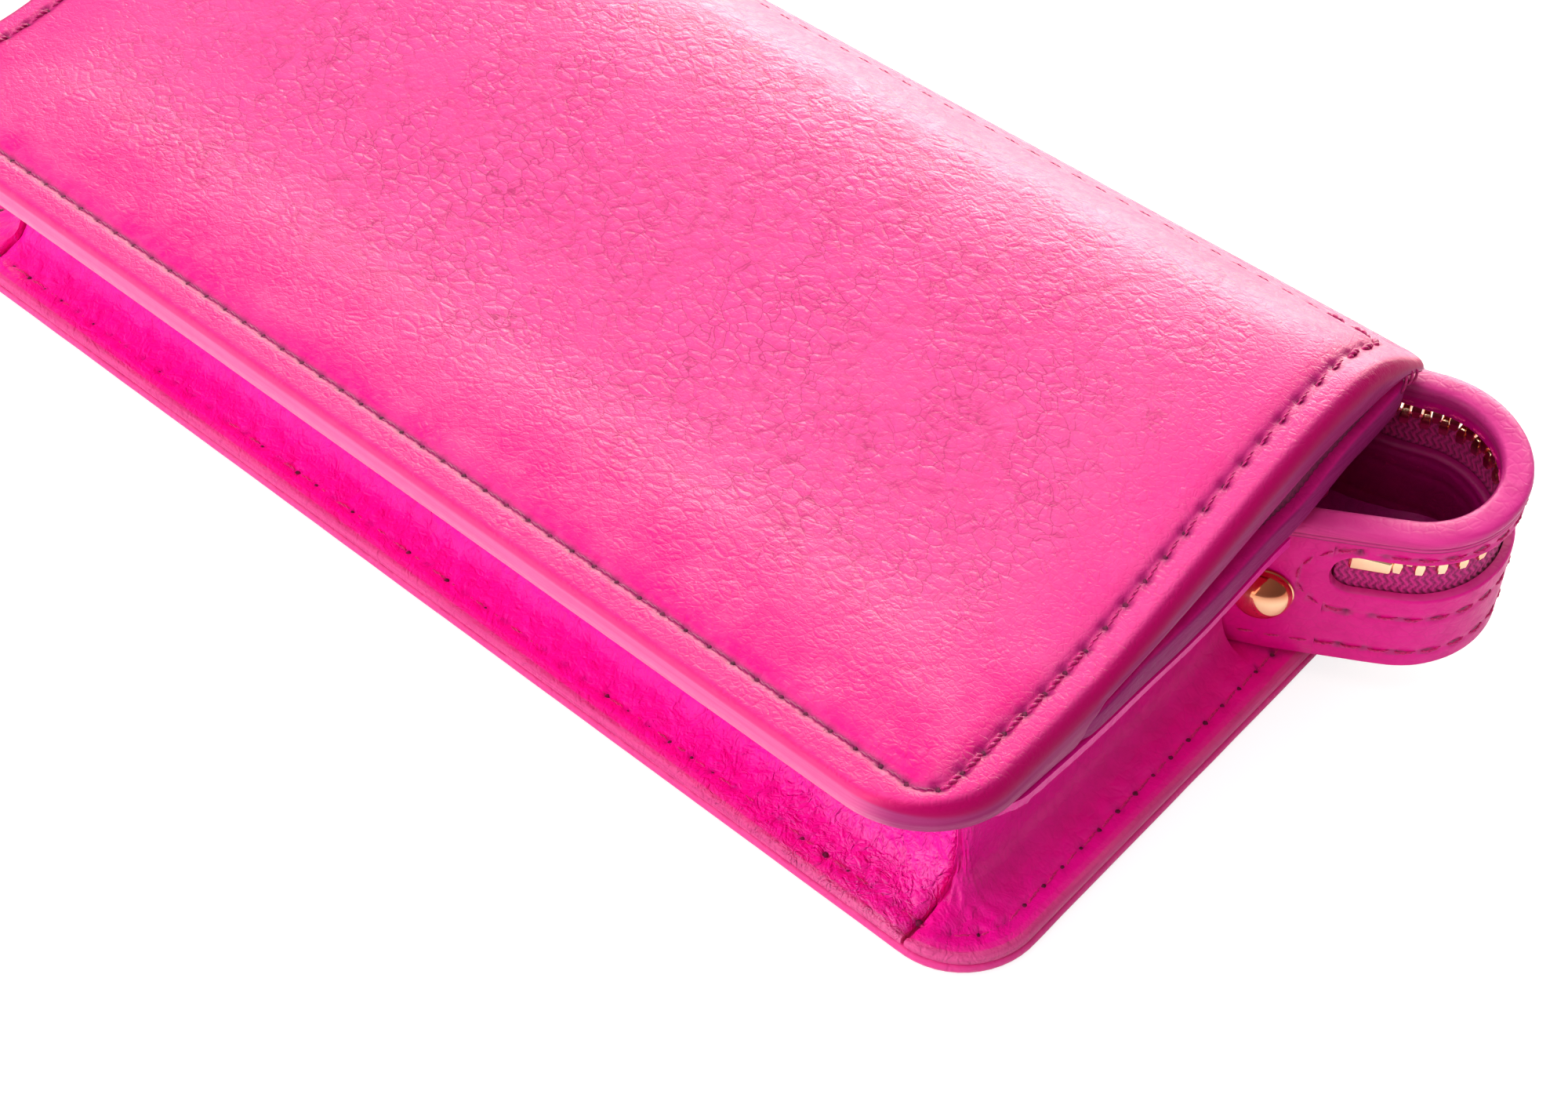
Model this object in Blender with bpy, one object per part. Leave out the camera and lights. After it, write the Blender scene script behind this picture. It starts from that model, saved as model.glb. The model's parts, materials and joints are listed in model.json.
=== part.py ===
"""Zip-round wristlet wallet, lying on its bottom cover.

Frame: metres, +Z up, origin at the centre of the bottom footprint on z = 0.
+X runs along the wallet's length, -Y is the front, hinged (spine) side and +Y the back, zip side.
The bottom cover, its gussets, the lower half of the zip band, both end tabs and the
inside pockets stay still. The cover turns about the spine edge. The zip slider runs
along the straight back run, and its pull turns on the slider's bail.

All sizes are in millimetres; they become metres where vertices and empties are made.
"""

import math
from collections import namedtuple

import bmesh
import bpy
from mathutils import Matrix, Vector

for old in list(bpy.data.objects):
    bpy.data.objects.remove(old, do_unlink=True)

MM = 0.001

# ------------------------------------------------------------------ driving dimensions
BODY_HALF_X = 97.5        # half length of the bottom cover
BODY_HALF_Y = 47.5        # half depth of the bottom cover
BODY_CORNER_R = 11.0      # plan corner radius of the bottom cover
BOTTOM_THICK = 1.5

COVER_HALF_X = 94.7
COVER_Y0, COVER_Y1 = -52.3, 42.2
COVER_CORNER_R = 13.0     # plan radius of the corners at the spine
COVER_BASE_Z = 33.6       # top of the cover at the spine
COVER_RISE = 10.9         # how much higher it stands at its crest
COVER_RISE_Y = -32.0      # where the rise starts
COVER_CREST_Y = 24.0      # where it ends and the back edge starts curling down
COVER_FALL = 8.6          # drop over one curl run
COVER_CURL_RUN = 17.5

INNER_HALF_X = 95.2       # second, inner panel of the cover
INNER_Y0, INNER_Y1 = -49.2, 37.6
INNER_THICK = 4.4
PANEL_GAP = 0.35          # least gap between the cover's two panels

HINGE_Y, HINGE_Z = -49.5, 26.6

BAND_THICK = 3.5          # zip band: leather + tape + lining
BAND_HALF = BAND_THICK / 2
BAND_HEIGHT = 23.5
LAYER_GAP = 0.45          # half the space the tape runs in
RIM_TAB_Z, RIM_BACK_Z = 27.0, 33.4
TEETH_DOWN = 6.5          # middle of the teeth, below the rim

SLIDER_X = -76.0          # slider's rest place
PULL_TILT = 8.0           # degrees the pull stands off the band


# ------------------------------------------------------------------ materials
Finish = namedtuple("Finish", "name colour roughness metallic", defaults=(0.0,))

PINK = Finish("pink_leather", colour=(0.86, 0.035, 0.26), roughness=0.5)
EDGE = Finish("painted_edge_leather", colour=(0.62, 0.05, 0.26), roughness=0.45)
DEEP = Finish("gusset_leather", colour=(0.62, 0.0, 0.22), roughness=0.45)
LINING = Finish("lining_fabric", colour=(0.30, 0.01, 0.12), roughness=0.8)
BOARD = Finish("stiffener_board", colour=(0.35, 0.30, 0.25), roughness=0.9)
TAPE = Finish("zip_tape", colour=(0.42, 0.0, 0.16), roughness=0.85)
GOLD = Finish("gold_metal", colour=(0.95, 0.62, 0.36), roughness=0.18, metallic=1.0)


def make_material(piece, finish):
    """Each piece gets a material of its own, named after the piece and its finish."""
    mat = bpy.data.materials.new(f"{piece}_{finish.name}")
    mat.use_nodes = True
    inputs = mat.node_tree.nodes["Principled BSDF"].inputs
    inputs["Base Color"].default_value = (*finish.colour, 1.0)
    inputs["Roughness"].default_value = finish.roughness
    inputs["Metallic"].default_value = finish.metallic
    mat.diffuse_color = (*finish.colour, 1.0)
    return mat


# ------------------------------------------------------------------ objects and joints
def finish_object(name, bm, finish, smooth_angle=None):
    """Turns a bmesh into an object; smooth_angle (degrees) shades it smooth below that angle."""
    bmesh.ops.remove_doubles(bm, verts=bm.verts, dist=1e-7)
    bmesh.ops.recalc_face_normals(bm, faces=bm.faces)
    mesh = bpy.data.meshes.new(name)
    bm.to_mesh(mesh)
    bm.free()
    mesh.materials.append(make_material(name, finish))
    ob = bpy.data.objects.new(name, mesh)
    bpy.context.scene.collection.objects.link(ob)
    if smooth_angle is not None:
        mesh.shade_smooth()
        mesh.set_sharp_from_angle(angle=math.radians(smooth_angle))
    return ob


def loft(bm, rings):
    """One closed body from a row of closed section loops, capped at both ends."""
    loops = [[bm.verts.new((x * MM, y * MM, z * MM)) for x, y, z in ring] for ring in rings]
    count = len(loops[0])
    for a, b in zip(loops, loops[1:]):
        for i in range(count):
            j = (i + 1) % count
            bm.faces.new((a[i], a[j], b[j], b[i]))
    bm.faces.new(loops[0][::-1])
    bm.faces.new(loops[-1])


def lofted(name, finish, rings, smooth_angle=None):
    bm = bmesh.new()
    loft(bm, rings)
    return finish_object(name, bm, finish, smooth_angle)


def turned(name, finish, profile, place, axis, segments=20):
    """A body of revolution: profile is (radius, height) from the bottom of the axis to its top."""
    bm = bmesh.new()
    line = [bm.verts.new((r * MM, 0, z * MM)) for r, z in profile]
    edges = [bm.edges.new(pair) for pair in zip(line, line[1:])]
    bmesh.ops.spin(bm, geom=line + edges, cent=(0, 0, 0), axis=(0, 0, 1),
                   angle=math.tau, steps=segments, use_merge=True)
    bmesh.ops.remove_doubles(bm, verts=bm.verts, dist=1e-7)
    turn = Vector((0, 0, 1)).rotation_difference(axis).to_matrix().to_4x4()
    bm.transform(Matrix.Translation(place * MM) @ turn)
    return finish_object(name, bm, finish, 35)


def add_boolean(target, helper, prefix, operation):
    """Leaves the helper in the scene as a wire that doesn't render."""
    helper.hide_render = True
    helper.display_type = "WIRE"
    mod = target.modifiers.new(prefix + helper.name, "BOOLEAN")
    mod.operation = operation
    mod.solver = "EXACT"
    mod.object = helper


def cut(target, helper):
    add_boolean(target, helper, "cut_", "DIFFERENCE")


def join(target, helper):
    add_boolean(target, helper, "join_", "UNION")


def add_empty(name, x, y, z):
    joint = bpy.data.objects.new(name, None)
    joint.location = (x * MM, y * MM, z * MM)
    bpy.context.scene.collection.objects.link(joint)
    return joint


def carry(parent, objects):
    """Hangs objects on a joint's empty and keeps them where they are."""
    bpy.context.view_layer.update()
    for ob in objects:
        world = ob.matrix_world.copy()
        ob.parent = parent
        ob.matrix_world = world


# ------------------------------------------------------------------ curves
def smooth(t):
    t = min(1.0, max(0.0, t))
    return t * t * (3 - 2 * t)


def blend(start, end, t):
    return start + (end - start) * smooth(t)


def through(points, v):
    """Smooth interpolation through (position, value) control points, level beyond both ends."""
    if v <= points[0][0]:
        return points[0][1]
    for (a, value_a), (b, value_b) in zip(points, points[1:]):
        if v <= b:
            return blend(value_a, value_b, (v - a) / (b - a))
    return points[-1][1]


def constant(value):
    return lambda _: value


# ------------------------------------------------------------------ sheets
CORNER_ANGLES = (8, 20, 35, 50, 65, 90)   # degrees round a sheet's corner


def half_width_at(y, half_x, y_range, radii):
    """Half width of a plan rectangle with rounded front and back corners."""
    for edge, r in ((y - y_range[0], radii[0]), (y_range[1] - y, radii[1])):
        if edge < r:
            e = max(0.0, r - edge)
            return half_x - (r - math.sqrt(max(0.0, r * r - e * e)))
    return half_x


def sheet(name, finish, y_range, half_x, top, bottom, radii, middle_rows):
    """A sheet across the wallet: top and bottom give z at y, radii are (front, back) corners."""
    y0, y1 = y_range
    front_r, back_r = radii
    straight = y1 - y0 - front_r - back_r
    ys = [y0 + front_r * (1 - math.cos(math.radians(a))) for a in CORNER_ANGLES]
    ys += [y0 + front_r + straight * i / (middle_rows + 1) for i in range(1, middle_rows + 1)]
    ys += [y1 - back_r * (1 - math.cos(math.radians(a))) for a in reversed(CORNER_ANGLES)]
    rings = []
    for y in ys:
        w = half_width_at(y, half_x, y_range, radii)
        low, high = bottom(y), top(y)
        rings.append([(-w, y, low), (w, y, low), (w, y, high), (-w, y, high)])
    return lofted(name, finish, rings)


# ------------------------------------------------------------------ bottom outline
CORNER_SIGNS = ((1, -1), (1, 1), (-1, 1), (-1, -1))
FRONT_RIGHT, BACK_RIGHT, BACK_LEFT, FRONT_LEFT = range(4)


def outline_point(station, inset):
    """A point of the bottom outline moved inwards by inset.

    station is ('front', x), ('back', x), ('side', sign, y) or ('corner', index, degrees).
    """
    kind = station[0]
    if kind == "front":
        return station[1], -(BODY_HALF_Y - inset)
    if kind == "back":
        return station[1], BODY_HALF_Y - inset
    if kind == "side":
        return station[1] * (BODY_HALF_X - inset), station[2]
    least_r = 1.3 if inset < 10.8 else 0.8
    r = max(BODY_CORNER_R - inset, least_r)
    sign_x, sign_y = CORNER_SIGNS[station[1]]
    angle = math.radians(station[2])
    x = sign_x * (BODY_HALF_X - inset - r) + r * math.cos(angle)
    y = sign_y * (BODY_HALF_Y - inset - r) + r * math.sin(angle)
    return x, y


def build_bottom_cover():
    bm = bmesh.new()
    loop = []
    for corner in range(4):
        for k in range(9):
            station = ("corner", corner, 90 * (corner - 1) + 90 * k / 8)
            x, y = outline_point(station, 0.0)
            loop.append(bm.verts.new((x * MM, y * MM, 0.0)))
    grown = bmesh.ops.extrude_face_region(bm, geom=[bm.faces.new(loop)])
    raised = [v for v in grown["geom"] if isinstance(v, bmesh.types.BMVert)]
    bmesh.ops.translate(bm, vec=(0, 0, BOTTOM_THICK * MM), verts=raised)
    ob = finish_object("bottom_cover", bm, PINK)
    soften = ob.modifiers.new("edge", "BEVEL")
    soften.width = 0.4 * MM
    soften.segments = 1
    soften.limit_method = "ANGLE"
    soften.angle_limit = math.radians(60)


# ------------------------------------------------------------------ gussets
FLANGE_LOW, FLANGE_HIGH = 1.85, 3.05      # z of the flange on the bottom leather
SEAM_X = 86.3             # front gusset ends here, at both corners
SEAM_GAP = 0.5
SIDE_END_Y = 8.0          # where the C-shaped side gussets stop
CORNER_STEPS = (0, 12, 24, 36, 45, 54, 66, 78, 90)    # degrees round a corner
L_SIDE = (15.5, 19.0)     # back gusset's wall: inset and height on the sides
L_BACK = (9.3, 17.5)      # and along the back

# C-shaped section, a closed loop of (inset, z)
C_PROFILE = [
    (0.5, FLANGE_LOW), (0.5, FLANGE_HIGH), (5.0, FLANGE_HIGH), (7.6, 3.9), (9.3, 6.2),
    (10.0, 10.0), (10.0, 18.0), (9.4, 21.6), (7.8, 23.9), (5.0, 24.8),
    (2.0, 24.9), (2.0, 26.0), (5.3, 26.0), (8.7, 24.9), (10.6, 22.1),
    (11.2, 18.2), (11.2, 9.8), (10.5, 5.6), (8.4, 2.85), (5.4, FLANGE_LOW),
]


def l_profile(inset, height):
    """L-shaped section, a closed loop of (inset, z)."""
    return [
        (0.5, FLANGE_LOW), (0.5, FLANGE_HIGH), (5.0, FLANGE_HIGH), (inset - 2.2, 3.4),
        (inset - 0.6, 5.4), (inset, 8.5), (inset, height), (inset + 1.2, height),
        (inset + 1.2, 8.2), (inset + 0.7, 4.6), (inset - 1.4, 2.3), (5.4, FLANGE_LOW),
    ]


def gusset(name, sections):
    """sections: (station on the bottom outline, profile) pairs."""
    rings = [[(*outline_point(station, inset), z) for inset, z in profile]
             for station, profile in sections]
    lofted(name, DEEP, rings, 40)


def c_gusset(name, stations):
    gusset(name, [(station, C_PROFILE) for station in stations])


def build_front_and_side_gussets():
    c_gusset("front_gusset", [("front", x) for x in (-SEAM_X, 0.0, SEAM_X)])
    side_ys = (-30.0, -12.0, SIDE_END_Y)
    right = [("front", SEAM_X + SEAM_GAP)]
    right += [("corner", FRONT_RIGHT, -90 + a) for a in CORNER_STEPS[1:]]
    right += [("side", 1, y) for y in side_ys]
    c_gusset("side_gusset_right", right)
    left = [("side", -1, y) for y in reversed(side_ys)]
    left += [("corner", FRONT_LEFT, 180 + a) for a in CORNER_STEPS[:-1]]
    left += [("front", -SEAM_X - SEAM_GAP)]
    c_gusset("side_gusset_left", left)


def build_back_gusset():
    """L-shaped gusset round the back; its wall changes inset and height round each corner."""
    side_ys = (SIDE_END_Y + SEAM_GAP, 22.0, 31.0)

    def corner(index, first_angle, start, end):
        return [(("corner", index, first_angle + a),
                 l_profile(blend(start[0], end[0], a / 90), blend(start[1], end[1], a / 90)))
                for a in CORNER_STEPS]

    sections = [(("side", 1, y), l_profile(*L_SIDE)) for y in side_ys]
    sections += corner(BACK_RIGHT, 0, L_SIDE, L_BACK)
    sections.append((("back", 0.0), l_profile(*L_BACK)))
    sections += corner(BACK_LEFT, 90, L_BACK, L_SIDE)
    sections += [(("side", -1, y), l_profile(*L_SIDE)) for y in reversed(side_ys)]
    gusset("back_gusset", sections)


# ------------------------------------------------------------------ inside of the body
# name, finish, (y0, y1), half length, bottom z, top z, (front, back) corner radii
BODY_SHEETS = [
    ("bottom_board", BOARD, (-35.0, 35.0), 79.0, 1.85, 3.4, (4, 4)),
    ("bottom_lining", LINING, (-35.4, 35.4), 79.2, 3.75, 4.35, (4, 4)),
    ("note_pocket", DEEP, (-34.5, 27.0), 78.5, 4.7, 5.7, (4, 3)),
    ("body_card_pocket_back", DEEP, (-34.0, 18.0), 77.0, 6.05, 6.95, (4, 3)),
    ("body_card_pocket_front", DEEP, (-34.0, 6.0), 77.0, 7.3, 8.2, (4, 3)),
    ("centre_pouch", LINING, (-33.5, 30.0), 76.0, 11.0, 15.4, (5, 5)),
]


def build_body_sheets():
    for name, finish, y_range, half_x, low, high, radii in BODY_SHEETS:
        sheet(name, finish, y_range, half_x, constant(high), constant(low), radii, 1)


# ------------------------------------------------------------------ cover
LEATHER_SHARE = 0.38      # share of the cover's thickness down to the leather's underside
RIM_SHARE = 0.70          # and down to its turned rim

# (y, thickness of the cover)
COVER_THICKNESS = [(-42.0, 2.2), (8.0, 5.6), (25.0, 5.6), (41.0, 1.9)]
# (y, z of the inner panel's underside)
INNER_UNDERSIDE = [(-49, 29.1), (-20, 27.0), (-6, 26.5), (12, 28.3), (27, 31.4), (38, 33.0)]

# Sheets under the inner panel:
# name, finish, (y0, y1), half length, top and bottom below the panel, corner radii, middle rows
COVER_SHEETS = [
    ("cover_lining", LINING, (-34.5, 34.0), 80.0, 0.3, 0.9, (4, 4), 12),
    ("cover_card_pocket_back", DEEP, (-33.0, 22.0), 77.0, 1.25, 2.15, (4, 3), 9),
    ("cover_card_pocket_middle", DEEP, (-33.0, 10.0), 77.0, 2.5, 3.4, (4, 3), 8),
    ("cover_card_pocket_front", DEEP, (-33.0, -2.0), 77.0, 3.75, 4.65, (4, 3), 7),
]

TRIM_X = (88.0, 92.2)
TRIM_Y0, TRIM_LENGTH = -12.0, 42.0


def cover_top(y):
    rise = (y - COVER_RISE_Y) / (COVER_CREST_Y - COVER_RISE_Y)
    z = COVER_BASE_Z + COVER_RISE * smooth(rise)
    if y > COVER_CREST_Y:
        z -= COVER_FALL * ((y - COVER_CREST_Y) / COVER_CURL_RUN) ** 2
    return z


def cover_depth(share, extra=0.0):
    """Surface lying a share of the thickness, plus extra mm, below the cover's top."""
    return lambda y: cover_top(y) - share * through(COVER_THICKNESS, y) - extra


cover_underside = cover_depth(1.0)


def below_inner(drop):
    return lambda y: through(INNER_UNDERSIDE, y) - drop


inner_bottom = below_inner(0.0)


def inner_top(y):
    return min(inner_bottom(y) + INNER_THICK, cover_underside(y) - PANEL_GAP)


def build_outer_panel():
    """The cover's leather, hollowed for its board, and the facing under it."""
    top_cover = sheet("top_cover", PINK, (COVER_Y0, COVER_Y1), COVER_HALF_X,
                      cover_top, cover_depth(RIM_SHARE), (COVER_CORNER_R, 4.0), 16)
    recess = sheet("cover_recess", BOARD, (COVER_Y0 + 5.5, 32.0), COVER_HALF_X - 5.5,
                   cover_depth(LEATHER_SHARE), cover_depth(0.0, 9.0), (8.5, 3.0), 14)
    cut(top_cover, recess)
    board = sheet("cover_board", BOARD, (COVER_Y0 + 6.0, 31.5), COVER_HALF_X - 6.0,
                  cover_depth(LEATHER_SHARE, 0.2), cover_depth(RIM_SHARE, -0.05), (8.0, 3.0), 14)
    facing = sheet("cover_facing", EDGE, (COVER_Y0 + 0.4, 36.0), COVER_HALF_X - 0.4,
                   cover_depth(RIM_SHARE, 0.32), cover_underside, (COVER_CORNER_R - 0.4, 3.0), 16)
    return [top_cover, recess, board, facing]


def build_inner_panel():
    """The inner panel with the lining and card pockets under it."""
    pieces = [sheet("inner_panel", EDGE, (INNER_Y0, INNER_Y1), INNER_HALF_X,
                    inner_top, inner_bottom, (COVER_CORNER_R - 2, 4.0), 16)]
    for name, finish, y_range, half_x, top_drop, bottom_drop, radii, rows in COVER_SHEETS:
        pieces.append(sheet(name, finish, y_range, half_x, below_inner(top_drop),
                            below_inner(bottom_drop), radii, rows))
    return pieces


def build_pocket_trim(name, side):
    """Woven trim in the mouth of the slip pocket between the cover's two panels."""
    x0, x1 = (side * x for x in TRIM_X)
    rings = []
    for k in range(12):
        y = TRIM_Y0 + TRIM_LENGTH * k / 11
        low, high = inner_top(y) + PANEL_GAP, cover_underside(y) - PANEL_GAP
        rings.append([(x0, y, low), (x1, y, low), (x1, y, high), (x0, y, high)])
    return lofted(name, TAPE, rings)


# ------------------------------------------------------------------ zip band path
TAB_X, TAB_Y = 85.3, 14.25            # inner end of the zip band's tab, right side
TAB_HEADING = math.radians(25.5)      # from +X
TAB_STRAIGHT = 22.0
LOOP_R, LOOP_TURN, LOOP_STEPS = 10.8, math.radians(181.5), 22
BACK_R, BACK_STEPS = 25.0, 5

# Distances s of the tab's stations from its inner end, close together at the slot's end
TAB_MARKS = [0, 2.0, 5.0, 8.0, 11.0, 12.6, 13.5, 13.7, 14.1, 14.9, 15.9, 17.2, 19.5, TAB_STRAIGHT]


def tab_point(s):
    """(x, y) on the right tab."""
    return TAB_X + s * math.cos(TAB_HEADING), TAB_Y + s * math.sin(TAB_HEADING)


def add_arc(path, radius, turn, steps):
    """Carries the path on round an arc; radius and turn are negative for a right-hand bend."""
    s, x, y, heading = path[-1]
    centre_x = x - radius * math.sin(heading)
    centre_y = y + radius * math.cos(heading)
    for k in range(1, steps + 1):
        a = turn * k / steps
        path.append((s + radius * a, centre_x + radius * math.sin(heading + a),
                     centre_y - radius * math.cos(heading + a), heading + a))


def right_half_path():
    """Stations (s, x, y, heading) from the right tab's inner end to the middle of the back."""
    path = [(s, *tab_point(s), TAB_HEADING) for s in TAB_MARKS]
    add_arc(path, LOOP_R, LOOP_TURN, LOOP_STEPS)
    add_arc(path, -BACK_R, math.pi - path[-1][3], BACK_STEPS)
    s, x, y, _ = path[-1]
    path.append((s + x, 0.0, y, math.pi))
    return path


HALF_PATH = right_half_path()
BACK_Y = HALF_PATH[-1][2]             # the straight back run
RISE_START, RISE_END = 4.0, HALF_PATH[-2][0]


def band_stations(s_from):
    """Right tab to left tab: (s from the nearest tab end, x, y, nx, ny), n pointing outwards."""
    right = [(s, x, y, math.sin(heading), -math.cos(heading))
             for s, x, y, heading in HALF_PATH if s >= s_from - 1e-6]
    left = [(s, -x, y, -nx, ny) for s, x, y, nx, ny in reversed(right[:-1])]
    return right + left


def rim_z(s):
    t = min(1.0, max(0.0, (s - RISE_START) / (RISE_END - RISE_START)))
    return RIM_TAB_Z + (RIM_BACK_Z - RIM_TAB_Z) * 0.5 * (t + smooth(t))


# ------------------------------------------------------------------ zip band strips
SLOT_TOP, SLOT_BOTTOM = 4.8, 11.0     # below the rim
SLOT_S = 13.5             # slot's end, along the band from the tab's end
UPPER_S = 14.9            # where the upper strips start
TAB_CHAMFER = 3.0         # taken off the tab's end at top and bottom


def tab_top(s):
    """Upper edge of the lower strip, below the rim: the tab, a rounded slot end, the slot."""
    if s <= SLOT_S + 1e-6:
        return 0.0 if s > 1.0 else TAB_CHAMFER
    start = SLOT_TOP + 1.0
    t = min(1.0, (s - SLOT_S) / ((SLOT_BOTTOM - SLOT_TOP) / 2 + 0.6))
    return start + (SLOT_BOTTOM - start) * math.sqrt(max(0.0, 1 - (1 - t) ** 2))


def tab_bottom(s):
    return BAND_HEIGHT if s > 1.0 else BAND_HEIGHT - TAB_CHAMFER


# Offsets across the band, from its middle
OUTER_LAYER = (LAYER_GAP, BAND_HALF)
INNER_LAYER = (-BAND_HALF, -LAYER_GAP)
TAPE_LAYER = (-0.2, 0.2)
TEETH_LAYER = (-1.2, 1.2)

# name, finish, first s, offsets, upper and lower edge as depths below the rim
LOWER_STRIPS = [
    ("zip_band_lower_outer", DEEP, 0.0, OUTER_LAYER, tab_top, tab_bottom),
    ("zip_band_lower_inner", LINING, 0.0, INNER_LAYER, tab_top, tab_bottom),
    ("zip_tape_lower", TAPE, TAB_STRAIGHT, TAPE_LAYER,
     constant(TEETH_DOWN + 1.9), constant(SLOT_BOTTOM + 4.0)),
    ("zip_teeth_lower", GOLD, TAB_STRAIGHT, TEETH_LAYER,
     constant(TEETH_DOWN + 0.6), constant(TEETH_DOWN + 1.6)),
]
UPPER_STRIPS = [
    ("zip_band_upper_outer", DEEP, UPPER_S, OUTER_LAYER, constant(0.0), constant(SLOT_TOP)),
    ("zip_band_upper_inner", LINING, UPPER_S, INNER_LAYER, constant(0.0), constant(SLOT_TOP)),
    ("zip_tape_upper", TAPE, TAB_STRAIGHT, TAPE_LAYER,
     constant(1.2), constant(TEETH_DOWN - 1.9)),
    ("zip_teeth_upper", GOLD, TAB_STRAIGHT, TEETH_LAYER,
     constant(TEETH_DOWN - 1.6), constant(TEETH_DOWN - 0.6)),
]


def ribbon(name, finish, s_from, offsets, upper, lower):
    t0, t1 = offsets
    rings = []
    for s, x, y, nx, ny in band_stations(s_from):
        high, low = rim_z(s) - upper(s), rim_z(s) - lower(s)
        x0, y0 = x + nx * t0, y + ny * t0
        x1, y1 = x + nx * t1, y + ny * t1
        rings.append([(x0, y0, low), (x1, y1, low), (x1, y1, high), (x0, y0, high)])
    return lofted(name, finish, rings, 40)


# ------------------------------------------------------------------ hardware on the tabs
RIVET_S = 6.1
RIVET_DOWN = 12.6         # below the rim
RIVET_PROUD = 0.3         # rivet faces stand off the band by this
HOLE_R, HOLE_LENGTH = 1.6, 8.0

# (radius, height) along the rivet's axis
RIVET_DOME = [(0.0, 0.0), (3.1, 0.0), (3.5, 0.25), (3.3, 0.9),
              (2.75, 1.6), (1.9, 2.15), (0.9, 2.45), (0.0, 2.5)]
RIVET_POST = [(0.0, -0.9), (2.2, -0.9), (2.5, -0.6), (2.5, 0.0),
              (1.25, 0.0), (1.25, BAND_THICK + 0.25), (0.0, BAND_THICK + 0.25)]
RIVET_HOLE = [(0.0, 0.0), (HOLE_R, 0.0), (HOLE_R, HOLE_LENGTH), (0.0, HOLE_LENGTH)]


def tab_frame(s, side, down):
    """Point on a tab, its heading and its outward normal; side is +1 right, -1 left."""
    x, y = tab_point(s)
    cos, sin = math.cos(TAB_HEADING), math.sin(TAB_HEADING)
    point = Vector((side * x, y, rim_z(s) - down))
    return point, Vector((side * cos, sin, 0)), Vector((side * sin, -cos, 0))


def build_rivet(word, side, drilled):
    """Cap, post and the hole they need through the drilled layers."""
    middle, _, out = tab_frame(RIVET_S, side, RIVET_DOWN)
    to_face = out * (BAND_HALF + RIVET_PROUD)
    turned(f"rivet_cap_{word}", GOLD, RIVET_DOME, middle + to_face, out)
    turned(f"rivet_post_{word}", GOLD, RIVET_POST, middle - to_face, out)
    drill = turned(f"rivet_hole_{word}", GOLD, RIVET_HOLE, middle - out * (HOLE_LENGTH / 2),
                   out, segments=16)
    for layer in drilled:
        cut(layer, drill)


def tab_block(name, s, side, down, length, thick, heights, bevel):
    """A small box on a tab; heights are at its end nearer the tab's inner end and at the other."""
    centre, along, out = tab_frame(s, side, down)
    up = Vector((0, 0, 1))
    rings = []
    for k, height in zip((-0.5, 0.5), heights):
        middle = centre + along * (k * length)
        rings.append([tuple(middle + out * (thick * a / 2) + up * (height * b / 2))
                      for a, b in ((-1, -1), (1, -1), (1, 1), (-1, 1))])
    bm = bmesh.new()
    loft(bm, rings)
    bmesh.ops.bevel(bm, geom=list(bm.edges), offset=bevel * MM, segments=1,
                    affect="EDGES", profile=0.5)
    return finish_object(name, bm, GOLD)


def build_top_stop(name, down):
    return tab_block(name, s=20.0, side=-1, down=down, length=1.9, thick=2.6,
                     heights=(1.0, 1.0), bevel=0.2)


# ------------------------------------------------------------------ slider
SLIDER = (SLIDER_X, BACK_Y, RIM_BACK_Z - TEETH_DOWN)
PLATE_NEAR, PLATE_FAR = 2.1, 3.1      # faces of the slider's plates, from the band's middle
WEDGE_REACH = 2.6
BAIL_HALF_HEIGHT = 1.2

# (x, z) from the slider's middle
PLATE = [(-6.0, -1.6), (-5.2, -3.2), (-1.0, -3.8), (4.6, -3.1), (6.0, -1.9),
         (6.0, 1.9), (4.6, 3.1), (-1.0, 3.8), (-5.2, 3.2), (-6.0, 1.6)]
WEDGE = [(-4.6, 0.0), (-3.2, -0.34), (-0.8, -0.34), (0.4, 0.0), (-0.8, 0.34), (-3.2, 0.34)]
# (x, y) from the slider's middle: over the arch's outside, then back along its inside
BAIL = [(-4.1, 2.75), (-4.1, 4.6), (-3.2, 5.7), (3.2, 5.7), (4.1, 4.6), (4.1, 2.75),
        (3.1, 2.75), (3.1, 4.4), (2.7, 4.95), (-2.7, 4.95), (-3.1, 4.4), (-3.1, 2.75)]


def y_prism(name, finish, outline, origin, y0, y1):
    """Solid between y0 and y1 with an (x, z) outline, all measured from origin."""
    ox, oy, oz = origin
    rings = [[(ox + x, oy + y, oz + z) for x, z in outline] for y in (y0, y1)]
    return lofted(name, finish, rings)


def build_bail():
    """The arch on the slider's outer face that holds the pull."""
    ox, oy, oz = SLIDER
    rings = [[(ox + x, oy + y, oz + z) for x, y in BAIL]
             for z in (-BAIL_HALF_HEIGHT, BAIL_HALF_HEIGHT)]
    return lofted("slider_bail_arch", GOLD, rings)


def build_slider():
    """Outer plate with the inner plate, wedge and bail joined to it."""
    slider = y_prism("zip_slider", GOLD, PLATE, SLIDER, PLATE_NEAR, PLATE_FAR)
    helpers = [
        y_prism("slider_inner_plate", GOLD, PLATE, SLIDER, -PLATE_FAR, -PLATE_NEAR),
        y_prism("slider_wedge", GOLD, WEDGE, SLIDER, -WEDGE_REACH, WEDGE_REACH),
        build_bail(),
    ]
    for helper in helpers:
        join(slider, helper)
    return [slider, *helpers]


# ------------------------------------------------------------------ pull
PIVOT = (SLIDER[0], BACK_Y + 4.1, SLIDER[2])
PULL_END_X, PULL_END_R = 30.0, 3.9    # rounded end of the leather

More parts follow.
